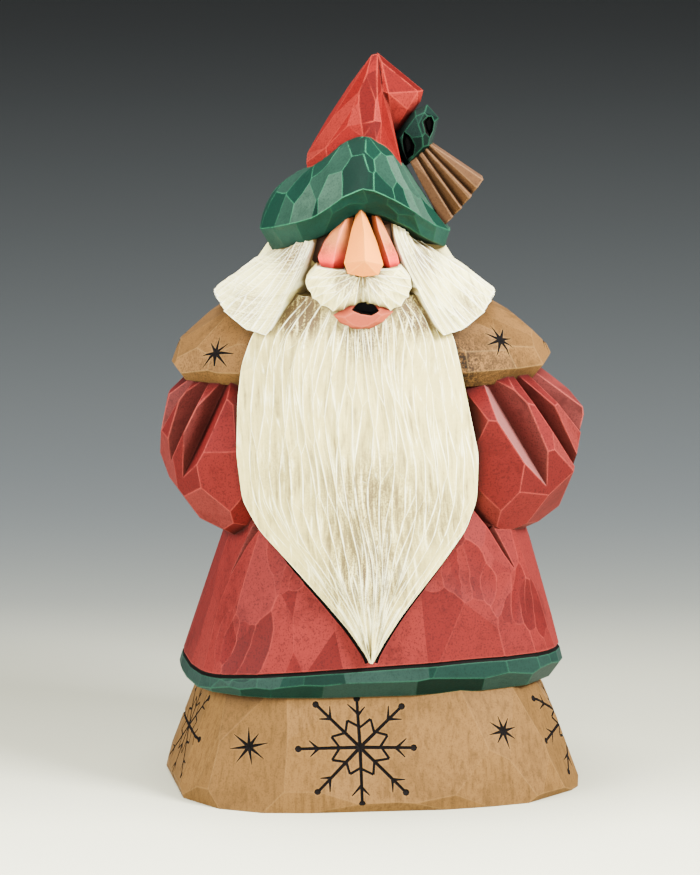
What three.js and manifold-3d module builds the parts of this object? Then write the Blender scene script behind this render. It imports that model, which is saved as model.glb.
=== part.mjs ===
// A folk carving of Santa, whittled from one block of basswood: an under-robe, a coat with pleated sleeves
// folded behind the back, a shoulder cape, a long gouged beard, a bell of hair, a floppy brim and a pointed
// hat whose tail is tied with a bow above a pleated tassel. It is one solid.
// Millimetres, +Z up, the front faces -Y, the origin is the middle of the flat underside.
import * as THREE from "three";
import { ConvexGeometry } from "three/addons/geometries/ConvexGeometry.js";
import { mergeVertices } from "three/addons/utils/BufferGeometryUtils.js";
import Module from "manifold-3d";

const wasm = await Module();
wasm.setup();

// Driving dimensions. The free forms are drawn on the block as a pattern of squares, and their places are
// shares of the block.
const FIGURE_HEIGHT = 180;
const BLOCK_WIDTH = 104;
const BLOCK_DEPTH = 82;

// Carving sizes, each set by itself.
const HEM_BAND = 5;
const HEM_PROUD = 0.8;
const HEM_GROOVE = 0.8;
const KNIFE_WANDER = 0.36;
const PLEAT_WIDTH = 5.4;
const PLEAT_DEPTH = 3.6;
const BEARD_LOCKS = 20;
const BEARD_GOUGE = 0.9;
const BEARD_EDGE = 1.6;
const HAIR_LOCKS = 34;
const HAIR_GOUGE = 0.7;
const HAIR_THICKNESS = 9;
const MOUSTACHE_LOCKS = 10;
const MOUSTACHE_GOUGE = 0.6;
const MOUTH_DEPTH = 6;
const TASSEL_PLEATS = 4;
const TASSEL_GOUGE = 1.5;
const BOW_HOLLOW = 3;

// The pattern: squares across, deep and high on the block.
const PATTERN = { width: 104, depth: 82, height: 180 };
const X = (squares) => (squares * BLOCK_WIDTH) / PATTERN.width;
const Y = (squares) => (squares * BLOCK_DEPTH) / PATTERN.depth;
const Z = (squares) => (squares * FIGURE_HEIGHT) / PATTERN.height;
const at = ([x, y, z]) => new THREE.Vector3(X(x), Y(y), Z(z));

const radians = THREE.MathUtils.degToRad;
const power = (value, exponent) => Math.sign(value) * Math.abs(value) ** exponent;
const chance = (seed) => THREE.MathUtils.euclideanModulo(Math.sin(seed * 12.9898) * 43758.5453, 1);
const swing = (seed) => 2 * chance(seed) - 1;
const FULL_TURN = 360;

// The value at `place` of a line through [place, value, ...] knots, as an array.
function along(knots, place) {
  const last = knots.length - 1;
  const next = Math.min(Math.max(knots.findIndex((knot) => knot[0] >= place), 1), last);
  const i = place > knots[last][0] ? last : next;
  const [a, b] = [knots[i - 1], knots[i]];
  const t = THREE.MathUtils.clamp((place - a[0]) / (b[0] - a[0]), 0, 1);
  return a.slice(1).map((value, k) => value + (b[k + 1] - value) * t);
}

// A closed geometry as a solid.
function solid(geometry) {
  const bare = geometry.clone();
  bare.deleteAttribute("normal");
  bare.deleteAttribute("uv");
  const merged = mergeVertices(bare, 1e-4);
  const mesh = { numProp: 3, vertProperties: merged.attributes.position.array, triVerts: merged.index.array };
  return new wasm.Manifold(new wasm.Mesh({ ...mesh, triVerts: new Uint32Array(mesh.triVerts) }));
}

const hull = (points) => solid(new ConvexGeometry(points));
const hullAt = (places) => hull(places.map(at));
const joined = (solids) => solids.reduce((whole, piece) => whole.add(piece));
const carved = (whole, cutters) => cutters.reduce((left, cutter) => left.subtract(cutter), whole);

// A rounded-square stack: levels are [height, middle, half width, front, back] in squares. The stack may
// be turned on the block, and its rings may climb to the right and arch up at the front and back.
function stackPoint(form, azimuth, height) {
  const [middle, half, front, back] = along(form.levels, height);
  const a = radians(azimuth);
  const across = half * power(Math.sin(a), 2 / form.square);
  const deep = -(Math.cos(a) > 0 ? front : back) * power(Math.cos(a), 2 / form.square);
  const turn = radians(form.turn ?? 0);
  return at([
    middle + across * Math.cos(turn) - deep * Math.sin(turn),
    across * Math.sin(turn) + deep * Math.cos(turn),
    height + (form.climb ?? 0) * across + (form.arch ?? 0) * Math.cos(a) ** 2,
  ]);
}

function stackNormal(form, azimuth, height) {
  const step = 1.5;
  const here = stackPoint(form, azimuth, height);
  const round = stackPoint(form, azimuth + step, height).sub(here);
  const up = stackPoint(form, azimuth, height + step).sub(stackPoint(form, azimuth, height - step));
  return round.cross(up).normalize();
}

// A stack as the knife leaves it: flat facets between corners that wander on their rings.
function whittled(form) {
  const last = form.levels.length - 1;
  const points = form.levels.flatMap(([height], row) =>
    Array.from({ length: form.sides }, (_, i) => {
      const seed = form.seed + row * 31 + i * 7;
      const azimuth = ((i + 0.5 * (row % 2) + KNIFE_WANDER * swing(seed)) * FULL_TURN) / form.sides;
      const rise = row > 0 && row < last ? (form.wander ?? 0) * swing(seed + 0.5) : 0;
      return stackPoint(form, azimuth, height + rise);
    }),
  );
  return hull([...points, ...(form.corners ?? []).map(at)]);
}

// A closed skin between two grids of points, rows by columns, seen from outside over `outer`.
function slab(rows, columns, outer, inner) {
  const position = [];
  const index = [];
  const wide = columns + 1;
  const back = (rows + 1) * wide;
  for (const side of [outer, inner]) {
    for (let i = 0; i <= rows; i++) for (let j = 0; j <= columns; j++) position.push(...side(i, j));
  }
  const quad = (a, b, c, d) => index.push(a, b, c, a, c, d);
  for (let i = 0; i < rows; i++) {
    for (let j = 0; j < columns; j++) {
      const a = i * wide + j;
      quad(a, a + wide, a + wide + 1, a + 1);
      quad(back + a, back + a + 1, back + a + wide + 1, back + a + wide);
    }
  }
  for (let j = 0; j < columns; j++) {
    const low = rows * wide + j;
    quad(j, j + 1, back + j + 1, back + j);
    quad(low, back + low, back + low + 1, low + 1);
  }
  for (let i = 0; i < rows; i++) {
    const a = i * wide;
    const b = a + columns;
    quad(a, back + a, back + a + wide, a + wide);
    quad(b, b + wide, back + b + wide, back + b);
  }
  const geometry = new THREE.BufferGeometry();
  geometry.setAttribute("position", new THREE.Float32BufferAttribute(position, 3));
  geometry.setIndex(index);
  return solid(geometry);
}

// Rings of equal count from the lowest to the highest, capped by fans.
function loft(rings) {
  const count = rings[0].length;
  const position = rings.flat().flatMap((p) => p.toArray());
  const index = [];
  for (let r = 0; r < rings.length - 1; r++) {
    for (let i = 0; i < count; i++) {
      const [a, b] = [r * count + i, r * count + ((i + 1) % count)];
      if ((i + r) % 2) index.push(a, b, b + count, a, b + count, a + count);
      else index.push(a, b, a + count, b, b + count, a + count);
    }
  }
  for (const [ring, turned] of [[0, true], [rings.length - 1, false]]) {
    const middle = new THREE.Vector3();
    for (const p of rings[ring]) middle.addScaledVector(p, 1 / count);
    const centre = position.push(...middle.toArray()) / 3 - 1;
    for (let i = 0; i < count; i++) {
      const [a, b] = [ring * count + i, ring * count + ((i + 1) % count)];
      index.push(...(turned ? [centre, b, a] : [centre, a, b]));
    }
  }
  const geometry = new THREE.BufferGeometry();
  geometry.setAttribute("position", new THREE.Float32BufferAttribute(position, 3));
  geometry.setIndex(index);
  return solid(geometry);
}

// A V cut through a surface: sections are [place on the surface, outward normal, half width, depth]. The
// bottom of the V leans to one side of the cut by a share of its half width.
function vCut(sections, side, lean = 0) {
  const points = sections.flatMap(([place, out, width, depth]) => {
    const across = side.clone().projectOnPlane(out).normalize();
    const open = place.clone().addScaledVector(out, depth * 0.8);
    return [
      open.clone().addScaledVector(across, width * 1.8),
      open.clone().addScaledVector(across, -width * 1.8),
      place.clone().addScaledVector(out, -depth).addScaledVector(across, lean * width),
    ];
  });
  return hull(points);
}

// Lower body, from the floor up. The robe and the coat are turned a little on the block, and the coat's
// hem climbs to the right.
const FRONT_TURN = 8;
const HEM_CLIMB = 0.04;
const HEM_ARCH = 2.8;
const HEM_LOW = 27.4;
const hemTop = HEM_LOW + (HEM_BAND * PATTERN.height) / FIGURE_HEIGHT;
const lowerBody = { turn: FRONT_TURN, square: 2.8 };
const hemLine = { ...lowerBody, climb: HEM_CLIMB, arch: HEM_ARCH };

const robe = {
  ...lowerBody,
  square: 3.1,
  seed: 11,
  sides: 26,
  wander: 1.6,
  levels: [
    [0, -0.4, 50, 36.6, 33.6],
    [1.8, -0.4, 51, 37.6, 34.6],
    [10, -0.5, 48.6, 36.2, 33.2],
    [21, -0.9, 43.4, 33, 30.4],
    [34, -0.9, 38.8, 30, 27.5],
  ],
};

const coat = {
  ...hemLine,
  seed: 37,
  sides: 22,
  wander: 2.4,
  levels: [
    [hemTop - 1.5, -0.9, 46.2, 34.8, 32.2],
    [40, -0.8, 44, 34.4, 31.6],
    [49, -0.6, 41.2, 33.6, 30.4],
    [61, -0.5, 37.2, 31.6, 28.4],
    [76, -1, 33.6, 28.6, 26],
    [108, -3, 28, 23, 23],
  ],
};

// Where each side of the coat's front panel lifts off the skirt: [azimuth, height] down the notch.
const notches = [
  [[-55, 70], [-63, 63.5], [-70, 56]],
  [[28, 73.5], [37, 64], [45, 54]],
];

function hemBand() {
  const groove = (HEM_GROOVE * PATTERN.height) / FIGURE_HEIGHT;
  const proud = (HEM_PROUD * PATTERN.width) / BLOCK_WIDTH;
  const level = (height, grow) => [height, -0.9, 46.6 + grow, 35.2 + grow, 32.6 + grow];
  const band = { ...hemLine, seed: 71, sides: 26 };
  const edges = [level(HEM_LOW, proud - 0.3), level(HEM_LOW + 1, proud), level(hemTop - groove, proud - 0.3)];
  const sunk = [level(hemTop - 2 * groove, -0.8), level(hemTop + 2 * groove, -1.1)];
  return joined([whittled({ ...band, levels: edges }), whittled({ ...band, sides: 40, levels: sunk })]);
}

function notchCuts() {
  return notches.map((line) => {
    const last = line.length - 1;
    const sections = line.map(([azimuth, height], i) => {
      const fade = 1 - i / last;
      const out = stackNormal(coat, azimuth, height);
      return [stackPoint(coat, azimuth, height), out, 0.1 + 1.7 * fade, 0.9 + 2.9 * fade];
    });
    const across = sections[last][0].clone().sub(sections[0][0]).cross(sections[0][1]);
    return vCut(sections, across);
  });
}

// Sleeves: an upper arm that bulges at the side and a forearm folded behind the back. The right sleeve
// sits a little closer to the body and slopes more under the cape.
const SLEEVE_OUT = 33.4;
const RIGHT_SLEEVE_IN = 1.8;
function sleeveLevels(side) {
  const right = side > 0;
  const level = (height, shift, half, front, back) => [
    height,
    side * (SLEEVE_OUT + shift - (right ? RIGHT_SLEEVE_IN : 0)),
    half,
    front,
    back,
  ];
  return [
    level(61.5, -1.5, 4.8, 10, 14),
    level(66, -1, 12, 19.5, 21),
    level(72.5, -0.5, 16.2, 24.4, 24),
    level(79.5, 0, 18.4, 27.2, 26),
    level(86.5, 0, 20, 28.2, 26.5),
    level(93.5, -0.3, 18.9, 26.6, 25.5),
    level(100.5, right ? -2.6 : -1, 14.6, 22.6, 22),
    level(108, right ? -6 : -4, 9, 15, 16),
  ];
}

// Pleats under the cape: [start azimuth, end azimuth, end height, size], outwards from the front.
const leftPleats = [[-16, -50, 77.5, 1.05], [-38, -63, 81, 0.95], [-61, -78, 85, 0.85]];
const rightPleats = [[-13, 39, 76, 1.45], [18, 64, 81.5, 1], [40, 77, 86.5, 0.8]];
const backPleats = [[84, 92, 80, 0.9], [108, 106, 77, 1], [133, 124, 80, 0.9]];

function sleeve(side, frontPleats) {
  const form = { square: 2.2, seed: side > 0 ? 103 : 157, sides: 14, wander: 2, levels: sleeveLevels(side) };
  const top = 103;
  const mirrored = backPleats.map(([from, to, low, size]) => [side * from, side * to, low, size]);
  const cutters = [...frontPleats, ...mirrored].map(([from, to, low, size]) => {
    const section = (t, width, depth) => {
      const height = top + (low - top) * t;
      const azimuth = from + (to - from) * t;
      const half = (size * width * PLEAT_WIDTH) / 4;
      const out = stackNormal(form, azimuth, height);
      return [stackPoint(form, azimuth, height), out, half, depth * PLEAT_DEPTH];
    };
    const [start, end] = [section(0, 0, 0), section(1, 0, 0)];
    const across = end[0].clone().sub(start[0]).cross(start[1].clone().add(end[1]));
    const fading = [section(0.45, 1, 1), section(0.8, 0.7, 0.75), section(1, 0.05, 0.05)];
    return vCut([section(0, 1, 1), ...fading], across, -0.5 * side);
  });
  return carved(whittled(form), cutters);
}

// Forearms, cuffs and mittens: [x outwards from the middle of the back, y, z].
function forearm(side) {
  const elbow = [[44, 8, 76], [46, 8, 84], [44, 16, 72], [44, 18, 86], [38, 25, 74], [36, 25, 87]];
  const armpit = [[30, 6, 68], [30, 4, 92]];
  const bend = [[24, 29, 66], [25, 34, 73], [24, 33, 82], [22, 27, 87], [20, 20, 63]];
  const wrist = [[9, 24, 65], [9, 24, 80], [10, 34, 67], [10, 37, 73], [10, 34.5, 79]];
  return hullAt([...elbow, ...armpit, ...bend, ...wrist].map(([x, y, z]) => [side * x - 1, y, z]));
}

function cuff(side) {
  const ring = (x, grow) => {
    const inner = [[24, 63 - grow], [24, 81 + grow]];
    const outer = [[34.4 + grow, 65.4 - grow], [37.6 + grow, 73], [34.8 + grow, 80.6 + grow]];
    return [...inner, ...outer].map(([y, z]) => [side * x - 1, y, z]);
  };
  return hullAt([...ring(7.5, 0.3), ...ring(11.8, 0.9)]);
}

function mittens() {
  const under = [
    [9, 24, 66], [9, 34, 68], [9, 36, 76], [0, 38, 77], [-6, 37.4, 75], [-8, 34, 70],
    [-4, 36, 66], [4, 36, 65.6], [-8, 24, 66], [8, 24, 79], [-6, 24, 79],
  ];
  const over = [
    [-9, 26, 68], [-9, 35, 70], [-9, 36, 77.6], [-2, 39.6, 79], [4, 39.4, 76.6],
    [5.6, 38, 73], [2, 39, 69.6], [-4, 38.6, 68.6], [5, 28, 78], [-8, 28, 80],
  ];
  return joined([under, over].map((places) => hullAt(places.map(([x, y, z]) => [x - 1, y, z]))));
}

// Shoulder cape, drooping to a chamfered lower edge.
const cape = {
  square: 2.5,
  climb: 0.012,
  arch: 0.7,
  seed: 211,
  sides: 20,
  wander: 0.7,
  levels: [
    [101.2, -3.6, 43.4, 26.8, 27.2],
    [104.4, -3.6, 46, 29.2, 29],
    [109, -3.8, 44, 28.4, 28.4],
    [114.5, -4, 38, 26, 26.4],
    [119, -4.4, 31.5, 23.5, 24],
    [125, -5, 20, 20, 20],
  ],
};

// The head inside the hair, whose front is the face.
const head = {
  square: 2.6,
  seed: 5,
  levels: [
    [98, -4.5, 18, 20, 18],
    [118, -4.8, 17, 25, 21],
    [128, -4.6, 15.5, 29.4, 22],
    [140, -4.6, 15, 29, 22],
    [150, -4.6, 12, 18, 16],
  ],
  sides: 16,
};

// The back of the head, which carries the hair.
const nape = {
  square: 2.2,
  seed: 9,
  levels: [
    [98, -4.9, 22, 16, 22],
    [117, -4.9, 29, 22, 25],
    [124, -4.9, 28, 20, 24],
    [139, -4.9, 19, 15, 20],
    [152, -4.9, 12, 11, 12],
  ],
  sides: 18,
};

// Beard: [height, middle, half width, depth under its edge, depth of its crown].
const BEARD_TIP = 36.8;
const beardLine = [
  [BEARD_TIP, -0.9, 0.5, -33.5, -36.4],
  [44, -1.2, 5, -32.6, -37.4],
  [50, -1.6, 9.6, -31.8, -38],
  [61, -2.2, 18.8, -29.5, -38.8],
  [68, -3, 24.6, -27.5, -39.3],
  [75, -3.7, 28, -25.5, -39.6],
  [86, -4.2, 29.3, -25, -39.6],
  [99, -5.4, 27.6, -25, -38],
  [107, -5.8, 25.2, -24.5, -36.4],
  [114, -5.4, 20.4, -24.5, -34.8],
  [119, -4.6, 14.5, -25, -33.4],
  [124, -4, 8.5, -25, -31.5],
];

function beardPoint(t, u) {
  const top = beardLine[beardLine.length - 1][0];
  const height = top + (BEARD_TIP - top) * t;
  const [middle, half, edge, crown] = along(beardLine, height);
  const sway = 0.7 * Math.sin(height / 6.5 + 9 * u) * (1 - u * u) * Math.min(1, half / 20);
  return [middle + half * u + sway, edge + (crown - edge) * (1 - Math.abs(u) ** 2.3), height];
}

function beard() {
  const rows = 14;
  const columns = 2 * BEARD_LOCKS;
  const spot = (i, j) => {
    const within = j > 0 && j < columns && i > 0;
    const drift = within ? 0.3 * swing(j * 7 + Math.floor(i / 3) * 31) : 0;
    return beardPoint(i / rows, (2 * (j + drift)) / columns - 1);
  };
  const outer = (i, j) => {
    const [x, y, z] = spot(i, j);
    const share = 0.25 + 1.1 * chance(Math.floor((i + 2 * (j % 3)) / 3) * 3 + j * 17);
    const depth = j % 2 ? BEARD_GOUGE * share * Math.min(1, (rows + 0.5 - i) / 3) : 0;
    return [X(x), Y(y) - BEARD_EDGE + depth, Z(z)];
  };
  const inner = (i, j) => {
    const [x, , z] = spot(i, j);
    return [X(x * 0.985 - 0.05), Y(-19), Z(z)];
  };
  return slab(rows, columns, outer, inner);
}

// Hair: a bell from the brim to the cape, open over the face. Stations run from the tip of a front lock
// to the back: [share, top x, y, z, bottom x, y, z], x counted outwards from the middle of the face.
const HAIR_MIDDLE = -4.9;
const hairLine = [
  [0, 9.3, -29.8, 140, 21.2, -31.6, 115],
  [0.1, 11.5, -28.6, 139, 26, -29.5, 116.2],
  [0.22, 13.5, -24, 137.5, 31, -23, 119.2],
  [0.34, 14, -13, 137, 34.2, -12.5, 122.6],
  [0.48, 14, 0, 137, 34, 0, 122],
  [0.7, 13, 12, 138, 29, 18, 119],
  [0.86, 8, 18.5, 138.5, 17, 28.5, 117],
  [1, 0, 20.5, 139, 0, 31, 116],
];

function hairPoint(round, down) {
  const side = round < 0.5 ? 1 : -1;
  const share = 1 - Math.abs(1 - 2 * round);
  const [x0, y0, z0, x1, y1, z1] = along(hairLine, share);
  const spread = down ** (share < 0.2 ? 1.5 : 1.05);
  const belly = 0.9 * Math.sin(Math.PI * down);
  const out = new THREE.Vector2(x0 + x1, y0 + y1).normalize();
  return [
    HAIR_MIDDLE + side * (x0 + (x1 - x0) * spread + belly * out.x),
    y0 + (y1 - y0) * spread + belly * out.y,
    z0 + (z1 - z0) * down,
    new THREE.Vector2(side * out.x, out.y),
  ];
}

function hair() {
  const rows = 5;
  const columns = 2 * HAIR_LOCKS;
  const outer = (i, j) => {
    const drift = j > 0 && j < columns ? 0.4 * swing(j * 5 + 3) : 0;
    const [x, y, z, out] = hairPoint((j + drift) / columns, i / rows);
    const share = 0.4 + 0.9 * chance(j * 13 + i);
    const depth = j % 2 ? HAIR_GOUGE * share * (i === rows ? 0.5 : Math.min(1, 0.3 + i / 2)) : 0;
    return [X(x) - depth * out.x, Y(y) - depth * out.y, Z(z)];
  };
  const inner = (i, j) => {
    const [x, y, z, out] = hairPoint(j / columns, i / rows);
    const lift = i === rows ? 2.2 : 0;
    return [X(x) - HAIR_THICKNESS * out.x, Y(y) - HAIR_THICKNESS * out.y, Z(z) + lift];
  };
  return slab(rows, columns, outer, inner);
}

// Moustache: [place from -1 to 1, top, bottom], and the lip and mouth under it.
const moustacheLine = [
  [-1, 129, 127.6],
  [-0.86, 131, 124.6],
  [-0.6, 131, 120.4],
  [-0.42, 130.6, 119.8],
  [-0.2, 129.8, 122],
  [0.05, 129.2, 123.9],
  [0.3, 129.8, 122.4],
  [0.48, 130.6, 120.8],
  [0.66, 131.2, 121.4],
  [0.88, 131.4, 124.6],
  [1, 128, 126],
];

function moustache() {
  const rows = 4;
  const columns = 2 * MOUSTACHE_LOCKS;
  const spot = (i, j) => {
    const u = (2 * j) / columns - 1;
    const [top, bottom] = along(moustacheLine, u);
    const v = i / rows;
    const lobes = 1 - 0.35 * Math.exp(-((u * 5) ** 2)) - 0.8 * Math.abs(u) ** 4;
    const bulge = 4.4 * lobes * Math.sin(Math.PI * (0.12 + 0.74 * v));
    return [-4.2 + 13.1 * u * (0.76 + 0.24 * v ** 0.6), -33 - bulge, top + (bottom - top) * v];
  };
  const outer = (i, j) => {
    const [x, y, z] = spot(i, j);
    return [X(x), Y(y) + (j % 2 ? MOUSTACHE_GOUGE : 0), Z(z)];
  };
  const inner = (i, j) => {
    const [x, , z] = spot(i, j);
    return [X(x), Y(-24), Z(z)];
  };
  return slab(rows, columns, outer, inner);
}

function lip() {
  const upper = [[-10, 120.2], [-6, 122.4], [2, 122.4], [4.2, 121]];
  const lower = [[1.8, 118.6], [-1, 117], [-3.6, 116.6], [-6, 117], [-8.4, 118.4]];
  const edge = [...upper, ...lower];
  const front = edge.map(([x, z]) => [x, -34.6, z]);
  const crown = edge.map(([x, z]) => [-3.2 + (x + 3.2) * 0.62, -37.2, 119.6 + (z - 119.6) * 0.62]);
  return hullAt([...front, ...crown, [-8, -28, 119], [2, -28, 119], [-3, -28, 123]]);
}

function mouth() {
  const upper = [[-6.2, 121.6], [-4.6, 123], [-2.4, 123.6], [0, 122.9], [1.4, 121.4]];
  const rim = [...upper, [-0.8, 120.2], [-3.6, 120.6]];
  const sunk = new THREE.Vector3(0, MOUTH_DEPTH, 0);
  const open = rim.map(([x, z]) => at([x, -44, z]));
  const deep = rim.map(([x, z]) => at([0.8 * x - 0.48, -39, 0.8 * z + 24.36]).add(sunk));
  return hull([...open, ...deep]);
}

// Nose and cheeks: plain flat-cut forms with no eyes, under the brim.
function nose() {
  const root = [[-4.3, -31, 145], [-2.1, -31, 145], [-6.2, -32.5, 138], [0.4, -32.5, 138]];
  const ridge = [[-3.9, -38, 138.4], [-2, -38, 138.4], [-3.1, -42.4, 133.6], [-2.2, -42.4, 133.6]];
  const wings = [[-7.8, -35.6, 133.2], [2.2, -35.6, 133.2], [-7, -35.4, 131.2], [1.2, -35.4, 131.2]];
  const under = [[-5.6, -38.8, 130], [-0.6, -38.8, 130], [-6, -27, 131], [0, -27, 131], [-3, -27, 145]];
  return hullAt([...root, ...ridge, ...wings, ...under]);
}

// Cheeks: [height, half width, depth] down from the brim, about a line that leans outwards.
const cheekRows = [
  [141.5, 2, -31],
  [138.8, 3, -33.6],
  [134.4, 3.9, -35.4],
  [132, 3.3, -34.8],
  [130.5, 1.6, -33],
];
function cheek(side) {
  const middle = (height) => -3.9 + side * (5.3 + 0.1 * (141.5 - height));
  const rings = cheekRows.flatMap(([height, half, y]) =>
    [-1, -0.5, 0.25, 1].map((u) => [middle(height) + u * half, y + 2.2 * u * u, height]),
  );
  return hullAt([...rings, [middle(130), -24, 130], [middle(142), -24, 142]]);
}

// Brim. Heights of its crest, its bulge, its join with the hat and its lower edge, by azimuth.
const BRIM_SIDES = 18;
const brimHeights = [
  [-180, 140, 146.5, 152, 135.5],
  [-130, 138.4, 146.4, 151.8, 133.2],
  [-90, 136.4, 145.4, 151.6, 131.6],
  [-56, 137.2, 147, 152.8, 133],
  [-41, 139.4, 149.6, 155.4, 134.2],
  [-26, 144, 153.2, 157.6, 136.2],
  [-12, 148.2, 156, 159, 139.8],
  [4, 151.2, 157.8, 160.2, 143.4],
  [16, 150.4, 157, 159.6, 140.8],
  [32, 147.4, 153.4, 157.4, 137.4],
  [46, 141.2, 149.2, 155, 135.4],
  [60, 138.6, 146, 153, 134],
  [90, 136.2, 143.6, 151.6, 132.6],
  [130, 137.6, 145.4, 151.8, 133.2],
  [180, 140, 146.5, 152, 135.5],
];

function brim() {
  const rings = [[], [], [], []];
  for (let i = 0; i < BRIM_SIDES; i++) {
    const azimuth = ((i + 0.3 * swing(i + 3)) * FULL_TURN) / BRIM_SIDES;
    const [crest, bulge, join, low] = along(brimHeights, azimuth > 180 ? azimuth - FULL_TURN : azimuth);
    const [s, c] = [Math.sin(radians(azimuth)), Math.cos(radians(azimuth))];
    const spot = (middle, half, front, back, height) => {
      const deep = -(c > 0 ? front : back) * c - 2;
      return at([middle + half * s, deep, height]);
    };
    const wide = (s > 0 ? 17 : 20.4) + 0.8 * swing(i * 3);
    rings[0].push(spot(-4, 21.2, 29.4, 25, low));
    rings[1].push(spot(-4.8, 23.3, 35, 28.6, crest));
    rings[2].push(spot(-4.2, wide, 23.5 + 2 * swing(i * 5), 22, bulge + 0.9 * swing(i * 7)));
    rings[3].push(spot(-3.9, 11.8, 12, 12.4, join));
  }
  return loft(rings);
}

// Hat: a cone of broad facets, and the tail that folds over to the right and behind.
const hat = {
  square: 2,
  seed: 319,
  sides: 9,
  wander: 1,
  levels: [
    [150, -4.2, 12.4, 11.5, 14],
    [154.4, -5, 11.6, 10.8, 13.4],
    [161.5, -4.5, 7.6, 7, 11],
    [166.6, -3.8, 5.5, 4.6, 9],
    [173, -2.1, 2.9, 1, 6],
    [179.6, -0.4, 0.5, -1.8, 2.6],
  ],
  corners: [
    [-1.8, -1.9, 174.4],
    [0.9, -1.6, 174.6],
    [1.9, -4.8, 169.8],
    [-5.6, -7.4, 165.6],
    [-0.6, -8.2, 166.6],
    [-7, -10.8, 161.6],
    [0.9, -11.4, 162],
    [-12.6, -7.6, 158],
    [-7.6, -13.4, 157.4],
    [1.8, -13.4, 157.6],
    [6.6, -8.4, 152],
    [-13.6, -9.6, 151.6],
    [-2, -15, 152],
  ],
};

function tail() {
  const fold = [[-0.2, 1.6, 180], [0.9, -0.5, 176.9], [9.5, -1.5, 171.8], [11.6, 0.2, 170.4]];
  const side = [[10.9, -0.6, 167.2], [7.9, -1, 164.9], [3.6, -4, 168], [2.4, -4.4, 170.2]];
  const rear = [[0, 5, 179], [10.5, 8, 169.5], [9, 9, 163], [2, 10, 160], [-2, 8, 166]];
  const stem = [[1, 0, 168], [8, 1.4, 165], [8, 2, 158], [4, 2, 155], [1, -3, 158], [2, 9, 157], [8, 8, 161]];
  return joined([hullAt([...fold, ...side, ...rear]), hullAt(stem)]);
}

// Bow and tassel at the right of the hat.
const BOW = [10.2, -2.5, 159];
const bowOutline = [
  [4.2, 158.8], [7.5, 161.8], [9.6, 165.6], [12.6, 166.8], [15.4, 163.6],
  [14.6, 160], [13.8, 156.8], [7.4, 151.8], [5.4, 155.2],
];

function bow() {
  const rim = bowOutline.map(([x, z]) => [x, -3.4, z]);
  const face = bowOutline.map(([x, z]) => [BOW[0] + (x - BOW[0]) * 0.72, -6.6, BOW[2] + (z - BOW[2]) * 0.8]);
  const rear = bowOutline.map(([x, z]) => [BOW[0] + (x - BOW[0]) * 0.7, 5, BOW[2] + (z - BOW[2]) * 0.75]);
  return hullAt([...rim, ...face, ...rear]);
}

function bowHollow(outline, [x0, z0]) {
  const sunk = new THREE.Vector3(0, BOW_HOLLOW, 0);
  const open = outline.map(([x, z]) => at([x, -9, z]));
  const deep = outline.map(([x, z]) => at([x0 + (x - x0) * 0.4, -6, z0 + (z - z0) * 0.5]).add(sunk));
  return hull([...open, ...deep]);
}

const lowHollow = [
  [6.6, 161.4], [8.6, 159.8], [9.9, 157.4], [9.6, 154.8], [7.6, 152.9], [6.6, 155.5], [6.2, 158.5],
];
const highHollow = [
  [11.2, 163.2], [12.6, 164.7], [14, 165], [14.7, 162.8], [14.4, 160.2], [13.2, 158.6], [12, 160.2],
];

const TASSEL_END = [[16.6, 137.4], [26.2, 148.8]];
function tassel() {
  const [low, high] = TASSEL_END;
  const neck = [[8, 154], [13.6, 157.4]];
  const thick = (t) => [-5.2 + 0.6 * t, 2.2 + 1.4 * t];
  const corners = [...neck, low, high].flatMap(([x, z], i) => thick(i > 1 ? 1 : 0).map((y) => [x, y, z]));
  const swell = [[low[0] + 4, -5.6, low[1] + 4.1], [high[0] - 3, -5.6, high[1] - 4.1]];
  const body = hullAt([...corners, ...swell, [15, 3.6, 147], [20, 3, 152]]);
  const cutters = [];
  for (const face of [-1, 1]) {
    for (let i = 0; i < TASSEL_PLEATS; i++) {
      const t = (i + 0.72) / (TASSEL_PLEATS + 0.35);
      const end = [low[0] + (high[0] - low[0]) * t, low[1] + (high[1] - low[1]) * t];
      const start = [neck[0][0] + (neck[1][0] - neck[0][0]) * t, neck[0][1] + (neck[1][1] - neck[0][1]) * t];
      const y = face < 0 ? -5.2 : 3.4;
      const out = new THREE.Vector3(0, face, 0);
      const far = at([end[0] + (end[0] - start[0]) * 0.1, y, end[1] + (end[1] - start[1]) * 0.1]);
      const near = at([start[0], y, start[1]]);
      const across = at([high[0] - low[0], 0, high[1] - low[1]]);
      cutters.push(vCut([[near, out, 0.35, 0.5], [far, out, 1.25, TASSEL_GOUGE]], across));
    }
  }
  return carved(body, cutters);
}

function figure() {
  const lower = joined([whittled(robe), carved(whittled(coat), notchCuts()), hemBand()]);
  const folded = [-1, 1].flatMap((side) => [forearm(side), cuff(side)]);
  const arms = joined([sleeve(-1, leftPleats), sleeve(1, rightPleats), ...folded, mittens()]);
  const features = [nose(), cheek(-1), cheek(1), beard(), moustache(), lip()];
  const face = carved(joined([whittled(head), whittled(nape), ...features]), [mouth()]);
  const cap = joined([whittled(hat), tail(), brim(), hair()]);
  const hollows = [bowHollow(lowHollow, [8, 157.2]), bowHollow(highHollow, [13, 162])];
  const trim = carved(joined([bow(), tassel()]), hollows);
  return joined([lower, arms, whittled(cape), face, cap, trim]);
}

// Pockets shut in where two forms meet are solid wood, and slivers finer than a shaving are let go.
const SHAVING = 0.03;
function wood(whole) {
  const bodies = whole.decompose().filter((body) => body.volume() > 0);
  return joined(bodies).asOriginal().simplify(SHAVING);
}

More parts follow.
